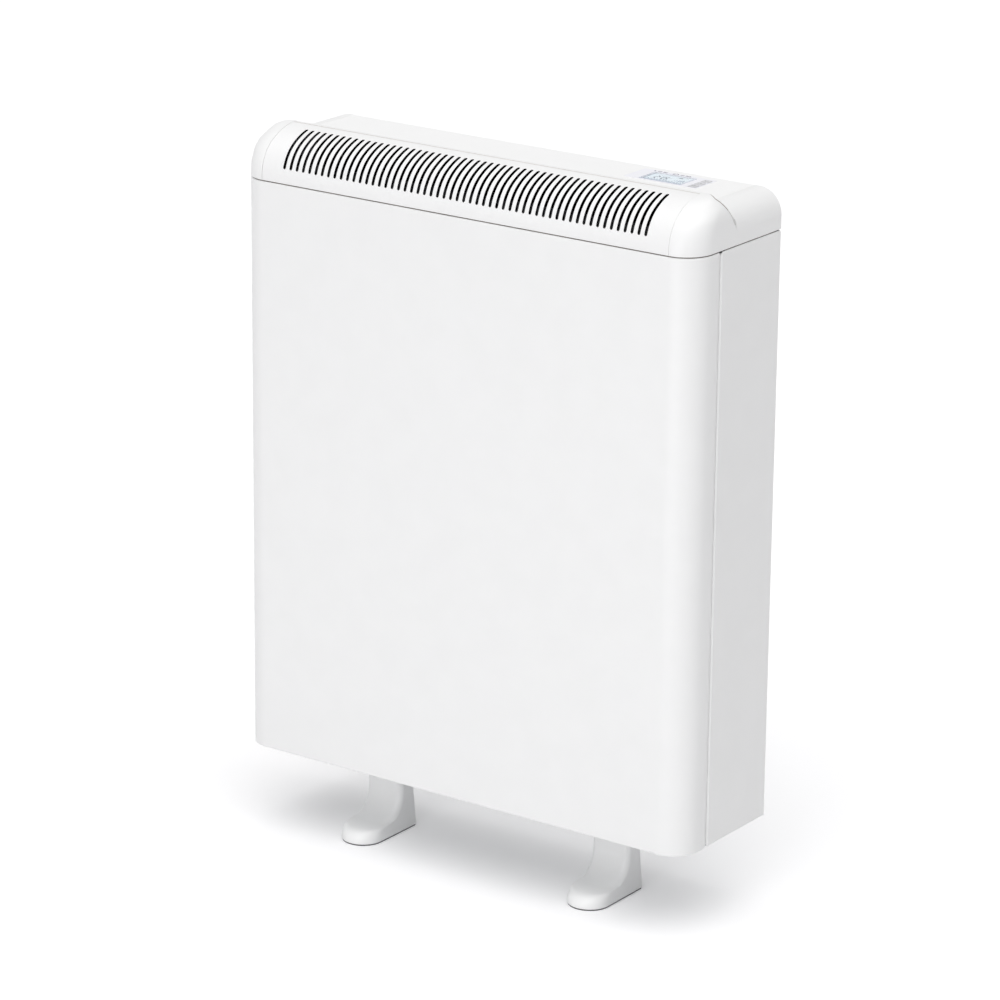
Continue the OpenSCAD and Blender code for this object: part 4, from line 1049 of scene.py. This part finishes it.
def marks_shape():
    """Plain marks printed round the display: a frame line, rows of short strokes and a house."""
    shape = Shape()
    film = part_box("control_label")[1].z
    level = (film, film + INK)
    x0, y0, x1, y1 = window_place()
    gap = 1.5 * MM
    left, front, right, rear = x0 - gap, y0 - gap, x1 + gap, y1 + gap
    for ax, ay, bx, by, w in ((left, front, right, front, 1.1), (left, rear, right, rear, 0.4),
                              (left, front, left, rear, 0.55),
                              (right, front, right, rear, 0.55)):
        bar(shape, ax, ay, bx, by, w * MM, level, 1)
    # Strokes and house stand in one row behind the window, measured from its left edge
    row, stroke, apart = y1 + 4.8 * MM, 0.8 * MM, 1.25
    words = [(-4.5, 2), (0.5, 3), (6.5, 4), (27.0, 3), (33.0, 5)]
    for start, count in words:
        for k in range(count):
            x = x0 + (start + apart * k) * MM
            tall = 1.9 + 0.5 * ((k * 7 + count) % 3)
            bar(shape, x, row - 1.2 * MM, x, row + (tall - 0.8) * MM, stroke, level, 0)
    house = [(18.0, -1.6), (18.0, 0.9), (20.8, 2.6), (23.6, 0.9), (23.6, -1.6), (18.0, -1.6)]
    for (ax, ay), (bx, by) in zip(house, house[1:]):
        bar(shape, x0 + ax * MM, row + ay * MM, x0 + bx * MM, row + by * MM, stroke, level, 0)
    return shape


SEGMENTS = {"1": "bc", "2": "abged", "5": "afgcd"}


def digit(shape, text, x, y, w, h, stroke, level, mark):
    """Seven-stroke digit with its lower left corner at x, y."""
    ends = {
        "a": (0, h, w, h), "b": (w, h, w, h / 2), "c": (w, h / 2, w, 0), "d": (0, 0, w, 0),
        "e": (0, 0, 0, h / 2), "f": (0, h / 2, 0, h), "g": (0, h / 2, w, h / 2),
    }
    gap = stroke * 0.55
    for name in SEGMENTS[text]:
        ax, ay, bx, by = ends[name]
        way = Vector((bx - ax, by - ay)).normalized() * gap
        bar(shape, x + ax + way.x, y + ay + way.y, x + bx - way.x, y + by - way.y, stroke, level,
            mark)


def display_shape():
    """Face of the display: pale ground, its edge line, a temperature and a row of bars."""
    shape = Shape()
    x0, y0, x1, y1 = window_place()
    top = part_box("control_label")[1].z - 0.55 * MM
    slack, depth = 0.1 * MM, 0.8 * MM
    shape.block((x0 + slack, y0 + slack, top - depth), (x1 - slack, y1 - slack, top))
    level = (top, top + 0.04 * MM)
    line, inset = y0 + 2.8 * MM, 0.9 * MM
    for ax, ay, bx, by, w in ((x0, line, x1, line, 0.9),
                              (x0 + inset, y0, x0 + inset, y1, 0.5),
                              (x1 - inset, y0, x1 - inset, y1, 0.5)):
        bar(shape, ax, ay, bx, by, w * MM, level, 1)
    # Temperature, whose last digit stands after the point
    left, foot = x0 + 8.5 * MM, y0 + 8.5 * MM
    for k, text in enumerate("215"):
        shift = k * 4.7 * MM + (1.6 * MM if k == 2 else 0)
        digit(shape, text, left + shift, foot, 3.2 * MM, 9.4 * MM, 1.4 * MM, level, 2)
    dot = left + 9.4 * MM
    bar(shape, dot, foot - 0.8 * MM, dot, foot + 0.9 * MM, 1.2 * MM, level, 2)
    # Bars that rise to the right, a short stroke over them, and dashes along the front
    for k in range(5):
        x = x1 - 13 * MM + k * 2.2 * MM
        bar(shape, x, foot + 1 * MM, x, foot + (2.2 + k) * MM, 1.1 * MM, level, 1)
    bar(shape, x1 - 15.5 * MM, y1 - 4.2 * MM, x1 - 10.5 * MM, y1 - 4.2 * MM, 1.8 * MM, level, 2)
    for k in range(12):
        x = x0 + 4 * MM + k * 3.4 * MM
        bar(shape, x, y0 + 5.4 * MM, x + 2.2 * MM, y0 + 5.4 * MM, 1.0 * MM, level, 1)
    return shape


def window_shape():
    """Clear window, which sinks a little into its opening."""
    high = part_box("display_window")[1]
    return plate(*window_place(), 0.8 * MM, high.z - 0.45 * MM, high.z)


def key_shape(name, sizes):
    """One key: cap with eased edges, flange, plunger and its plain mark."""
    shape = Shape()
    x, y = middle(name)
    low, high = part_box(name)
    s = sizes.key / 2
    flange = (high.x - low.x) / 2
    flange_top = DECK_Z - sizes.sheet - 0.3 * MM
    flange_low = flange_top - 0.8 * MM
    edge = 0.5 * MM
    top = high.z
    rings = [slab_ring(x, y, flange, flange, 1.2 * MM, z) for z in (flange_low, flange_top)]
    rings.append(slab_ring(x, y, s, s, OPENING_R, flange_top))
    for a in quarter(5):
        g = edge * (1 - math.cos(a))
        rings.append(slab_ring(x, y, s - g, s - g, OPENING_R - g, top - edge * (1 - math.sin(a))))
    shape.loft(rings)
    shape.loft([disc_ring(x, y, 2 * MM, z) for z in (low.z, flange_low)])
    level = (top - 0.01 * MM, top + INK)
    tip = {"up_key": 1, "down_key": -1}.get(name)
    if tip is None:
        for dy in (-1.5, 0.0, 1.5):
            bar(shape, x - 2 * MM, y + dy * MM, x + 2 * MM, y + dy * MM, 0.6 * MM, level, 1)
    else:
        for side in (-1, 1):
            bar(shape, x, y + tip * 1.2 * MM, x + side * 2.2 * MM, y - tip * 1.0 * MM, 0.7 * MM,
                level, 1)
    return shape


# ---------- Feet ----------


class Foot:
    """Outline of a foot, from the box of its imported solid."""

    def __init__(self, sizes):
        low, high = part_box("right_foot")
        self.x = (low.x + high.x) / 2
        self.half = (high.x - low.x) / 2
        self.toe_y = low.y
        self.heel_y = high.y
        self.z0, self.top = low.z, high.z
        self.toe = sizes.toe
        self.sweep = sizes.sweep
        self.front = -6 * MM
        self.back = 17 * MM
        self.lean = 45 * MM
        self.sweep_z = self.z0 + self.toe + self.sweep
        self.sweep_y = self.front - self.sweep

    def rear(self, z):
        """Depth of the back of the foot, which leans out to the heel."""
        if z < self.lean:
            return self.heel_y + (self.back - self.heel_y) * z / self.lean
        return self.back

    def ring(self, z, yf, inset=0.0, steps=14):
        """Ring round the foot at one height, with front corners that open out to the toe."""
        t = min(1.0, max(0.0, (self.front - yf) / (self.front - self.toe_y)))
        w = self.half - inset
        r0 = 6 * MM
        rx = r0 + (w - 0.1 * MM - r0) * t
        ry = r0 + (w - r0) * t
        yf = yf + inset
        yb = self.rear(z) - inset
        rb = 3 * MM
        points = [(w - rx + rx * math.sin(a), yf + ry - ry * math.cos(a)) for a in quarter(steps)]
        points += [(w - rb + rb * math.cos(a), yb - rb + rb * math.sin(a)) for a in quarter(4)]
        points += [(-w + rb - rb * math.sin(a), yb - rb + rb * math.cos(a)) for a in quarter(4)]
        points += [(-w + rx - rx * math.cos(a), yf + ry - ry * math.sin(a))
                   for a in quarter(steps)]
        return [(self.x + x, y, z) for x, y in points]

    def stations(self, levels=22):
        """Heights and front faces of the rings, close together where the outline turns."""
        tip_y = self.toe_y + self.toe
        made = [(self.z0 + self.toe * math.sin(a), self.toe_y + self.toe * (1 - math.cos(a)))
                for a in quarter(levels)]
        made += [(self.z0 + self.toe + 0.15 * MM * i, tip_y + (self.sweep_y - tip_y) * i / 6)
                 for i in range(1, 6)]
        for i, a in enumerate(quarter(levels)):
            lift = 1.0 * MM * (1 - i / levels)
            made.append((self.sweep_z - self.sweep * math.cos(a) + lift,
                         self.sweep_y + self.sweep * math.sin(a)))
        made.append((self.top, self.front))
        return made


def foot_shape(sizes):
    """Right-hand foot: rounded toe, swept column and leaning heel."""
    foot = Foot(sizes)
    shape = Shape()
    edge, rim = 0.5 * MM, 0.15 * MM
    rings = [foot.ring(foot.z0, foot.toe_y, edge), foot.ring(foot.z0 + rim, foot.toe_y, rim)]
    rings += [foot.ring(z, y) for z, y in foot.stations()[1:]]
    shape.loft(rings)
    return shape


def sole_shape(sizes):
    """Rubber soles of both feet, set in a little."""
    foot = Foot(sizes)
    shape = Shape()
    inset = 0.6 * MM
    shape.loft([foot.ring(z, foot.toe_y, inset) for z in (0.0, foot.z0)])
    other = mirrored(shape)
    both = Shape()
    for one in (shape, other):
        first = len(both.points)
        both.points += one.points
        both.faces += [tuple(first + i for i in f) for f in one.faces]
        both.marks += one.marks
    return both


# ---------- Operators ----------


class HEATER_OT_front(bpy.types.Operator):
    """Fold the front panel from one sheet"""

    bl_idname = "heater.front"
    bl_label = "Front panel"

    def execute(self, context):
        made = raw("front_sheet", front_sheet(context.scene.heater_sizes))
        dress(made, ["white_panel"], ["front_panel"])
        return {"FINISHED"}


class HEATER_OT_sides(bpy.types.Operator):
    """Fold the two side panels"""

    bl_idname = "heater.sides"
    bl_label = "Side panels"

    def execute(self, context):
        right = side_sheet(context.scene.heater_sizes)
        for name, shape in (("right_side", right), ("left_side", mirrored(right))):
            dress(raw(f"{name}_sheet", shape), ["white_panel"], [f"{name}_panel"])
        return {"FINISHED"}


class HEATER_OT_grille(bpy.types.Operator):
    """Mould the bull nose with its slots"""

    bl_idname = "heater.grille"
    bl_label = "Outlet grille"

    def execute(self, context):
        made = raw("nose_moulding", grille_shape(context.scene.heater_sizes))
        # Finishes 2 to 4 are painted shade: black in the slots, grey in the seam, pale grey in the
        # crest groove.
        dress(made, ["white_moulding", "gap_dark", "gap_grey", "line_grey"],
              ["outlet_grille"])
        return {"FINISHED"}


class HEATER_OT_ends(bpy.types.Operator):
    """Mould the two rounded ends"""

    bl_idname = "heater.ends"
    bl_label = "Moulded ends"

    def execute(self, context):
        right = end_shape_object(context.scene.heater_sizes)
        left = placed("left_end_moulding", right.data.copy())
        left.data.transform(Matrix.Scale(-1, 4, Vector((1, 0, 0))))
        left.data.flip_normals()
        for made, node in ((right, "right_end_cap"), (left, "left_end_cap")):
            # Finishes 2 and 3 are painted shade, in the seam and down the nose's rear corner.
            dress(made, ["white_moulding", "gap_grey", "crease_grey"], [node])
        return {"FINISHED"}


class HEATER_OT_deck(bpy.types.Operator):
    """Fold the deck and cut its openings"""

    bl_idname = "heater.deck"
    bl_label = "Deck"

    def execute(self, context):
        sizes = context.scene.heater_sizes
        made = raw("deck_sheet", deck_shape(sizes))
        combine(made, openings(sizes, DECK_Z - 3 * MM, DECK_Z + 1 * MM), "DIFFERENCE")
        # The deck's white is lighter than the panels': painted light.
        dress(made, ["white_lid"], ["top_panel"])
        return {"FINISHED"}


class HEATER_OT_controls(bpy.types.Operator):
    """Lay the label, the display and the three keys"""

    bl_idname = "heater.controls"
    bl_label = "Control strip"

    def execute(self, context):
        sizes = context.scene.heater_sizes
        dress(label_object(sizes), ["label_film"], ["control_label"])
        dress(raw("label_marks", marks_shape()), ["label_ink", "display_edge"])
        dress(raw("display_face", display_shape()),
              ["display_ground", "display_edge", "display_ink"])
        dress(raw("display_lens", window_shape()), ["display_clear"],
              ["display_window"])
        for name in KEYS:
            dress(raw(f"{name}_cap", key_shape(name, sizes)), ["key_grey", "key_mark"],
                  [name], name)
        return {"FINISHED"}


class HEATER_OT_feet(bpy.types.Operator):
    """Mould the two feet and their soles"""

    bl_idname = "heater.feet"
    bl_label = "Feet"

    def execute(self, context):
        sizes = context.scene.heater_sizes
        right = foot_shape(sizes)
        for name, shape in (("right_foot", right), ("left_foot", mirrored(right))):
            # The feet's white is lighter than the moulding's: painted light.
            dress(raw(f"{name}_moulding", shape), ["white_foot"], [name])
        dress(raw("rubber_soles", sole_shape(sizes)), ["sole_grey"],
              ["foot_soles"])
        return {"FINISHED"}


class HEATER_OT_inside(bpy.types.Operator):
    """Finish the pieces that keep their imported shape"""

    bl_idname = "heater.inside"
    bl_label = "Inner pieces"

    def execute(self, context):
        slots = {part["node"]: part["material_slot"] for part in frame["record"]["subparts"]}
        for name, node in frame["nodes"].items():
            if node.hide_render:
                continue
            for place in node.material_slots:
                place.material = finish(slots[name])
        return {"FINISHED"}


# ---------- Stage ----------


# Camera at the photograph's place: focal length as pixels of a picture 1000 wide, angles in
# radians, and its place in metres
FOCAL = 4503.307 / 1000
YAW, PITCH, ROLL = 0.6177, 0.3125, 0.01
EYE = (2.533047, -3.5682446, 1.8073062)


def make_camera():
    """Camera at the photograph's place, with its direction and focal length."""
    data = bpy.data.cameras.new("camera")
    data.sensor_width = 36.0
    data.lens = data.sensor_width * FOCAL
    data.clip_end = 200.0
    ahead = Vector((-math.sin(YAW) * math.cos(PITCH), math.cos(YAW) * math.cos(PITCH),
                    -math.sin(PITCH)))
    right = Vector((math.cos(YAW), math.sin(YAW), 0.0))
    up = right.cross(ahead)
    turned = right * math.cos(ROLL) + up * math.sin(ROLL)
    upright = up * math.cos(ROLL) - right * math.sin(ROLL)
    place = Matrix((turned, upright, -ahead)).transposed().to_4x4()
    place.translation = EYE
    made = placed("camera", data)
    made.matrix_world = place
    bpy.context.scene.camera = made


def seen_rays(tree):
    """1 for camera, glossy and transmission rays, else 0."""
    path = tree.nodes.new("ShaderNodeLightPath")
    total = path.outputs["Is Camera Ray"]
    for name in ("Is Glossy Ray", "Is Transmission Ray"):
        step = tree.nodes.new("ShaderNodeMath")
        step.operation = "MAXIMUM"
        tree.links.new(total, step.inputs[0])
        tree.links.new(path.outputs[name], step.inputs[1])
        total = step.outputs["Value"]
    return total


def mix_seen(tree, lit, shown, output):
    """Shows one shader to the camera and lights the scene with the other."""
    mix = tree.nodes.new("ShaderNodeMixShader")
    tree.links.new(seen_rays(tree), mix.inputs["Fac"])
    tree.links.new(lit, mix.inputs[1])
    tree.links.new(shown, mix.inputs[2])
    tree.links.new(mix.outputs["Shader"], output.inputs["Surface"])


def make_world(strength):
    """Plain even light all round, shown as white behind the heater."""
    world = bpy.data.worlds.new("studio")
    world.use_nodes = True
    bpy.context.scene.world = world
    tree = world.node_tree
    light = tree.nodes["Background"]
    light.inputs["Color"].default_value = (1, 1, 1, 1)
    light.inputs["Strength"].default_value = strength
    shown = tree.nodes.new("ShaderNodeBackground")
    shown.inputs["Strength"].default_value = 1.0
    mix_seen(tree, light.outputs["Background"], shown.outputs["Background"],
             tree.nodes["World Output"])


def make_floor(tone, seen_tone, glow, reach=60.0):
    """Pale floor that shows white and keeps the heater's shadow."""
    mesh = bpy.data.meshes.new("floor")
    corners = [(-reach, -reach, 0), (reach, -reach, 0), (reach, reach, 0), (-reach, reach, 0)]
    mesh.from_pydata(corners, [], [(0, 1, 2, 3)])
    made = placed("floor", mesh)
    finish_made = bpy.data.materials.new("floor")
    finish_made.use_nodes = True
    tree = finish_made.node_tree
    tree.nodes.clear()
    body = tree.nodes.new("ShaderNodeBsdfDiffuse")
    body.inputs["Color"].default_value = (*tone, 1.0)
    seen = tree.nodes.new("ShaderNodeBsdfDiffuse")
    seen.inputs["Color"].default_value = (*seen_tone, 1.0)
    light = tree.nodes.new("ShaderNodeEmission")
    light.inputs["Strength"].default_value = glow
    total = tree.nodes.new("ShaderNodeAddShader")
    tree.links.new(seen.outputs["BSDF"], total.inputs[0])
    tree.links.new(light.outputs["Emission"], total.inputs[1])
    mix_seen(tree, body.outputs["BSDF"], total.outputs["Shader"],
             tree.nodes.new("ShaderNodeOutputMaterial"))
    mesh.materials.append(finish_made)


def turn_to(made, way):
    """Turns a lamp to shine along a direction."""
    made.rotation_mode = "QUATERNION"
    made.rotation_quaternion = way.to_track_quat("-Z", "Y")


def make_sun(name, way, strength, spread):
    """Broad soft lamp far away, shining along a direction."""
    data = bpy.data.lights.new(name, "SUN")
    data.energy = strength
    data.angle = math.radians(spread)
    turn_to(placed(name, data), Vector(way))


def make_softbox(name, place, aim, width, power):
    """Square soft lamp near the heater, turned to a place on it."""
    data = bpy.data.lights.new(name, "AREA")
    data.size = width
    data.energy = power
    made = placed(name, data)
    made.location = place
    turn_to(made, Vector(aim) - Vector(place))
    made.visible_camera = False


class HEATER_OT_stage(bpy.types.Operator):
    """Set the floor, the lamps and the camera"""

    bl_idname = "heater.stage"
    bl_label = "Stage"

    def execute(self, context):
        context.scene.view_settings.view_transform = "Standard"
        make_camera()
        make_world(strength=0.32)
        make_floor(tone=(0.74, 0.74, 0.75), seen_tone=(0.97, 0.965, 0.975), glow=0.15)
        make_sun("key", way=(-0.29, 0.43, -0.866), strength=1.1, spread=70)
        make_sun("top", way=(-0.05, 0.05, -1.0), strength=1.1, spread=80)
        make_softbox("front", place=(0.35, -2.20, 0.55), aim=(0.0, 0.0, 0.30), width=1.2,
                     power=10.4)
        return {"FINISHED"}


class HEATER_PT_pieces(bpy.types.Panel):
    """Lists the heater's pieces, sizes and colours"""

    bl_label = "Storage Heater"
    bl_idname = "HEATER_PT_pieces"
    bl_space_type = "VIEW_3D"
    bl_region_type = "UI"
    bl_category = "Heater"

    def draw(self, context):
        for step in STEPS:
            self.layout.operator(step.bl_idname)
        for group in (context.scene.heater_sizes, context.scene.heater_colours):
            box = self.layout.box()
            for name in group.__annotations__:
                box.prop(group, name)


STEPS = (
    HEATER_OT_front, HEATER_OT_sides, HEATER_OT_grille, HEATER_OT_ends, HEATER_OT_deck,
    HEATER_OT_controls, HEATER_OT_feet, HEATER_OT_inside, HEATER_OT_stage,
)
CLASSES = (HeaterSizes, HeaterColours, *STEPS, HEATER_PT_pieces)


def register():
    """Adds the heater's properties, operators and panel."""
    for one in CLASSES:
        bpy.utils.register_class(one)
    bpy.types.Scene.heater_sizes = PointerProperty(type=HeaterSizes)
    bpy.types.Scene.heater_colours = PointerProperty(type=HeaterColours)


def unregister():
    """Takes the heater's properties, operators and panel away."""
    del bpy.types.Scene.heater_colours
    del bpy.types.Scene.heater_sizes
    for one in reversed(CLASSES):
        bpy.utils.unregister_class(one)


def main():
    """Builds every piece in order."""
    register()
    for step in STEPS:
        group, name = step.bl_idname.split(".")
        getattr(getattr(bpy.ops, group), name)()


if __name__ == "__main__":
    main()
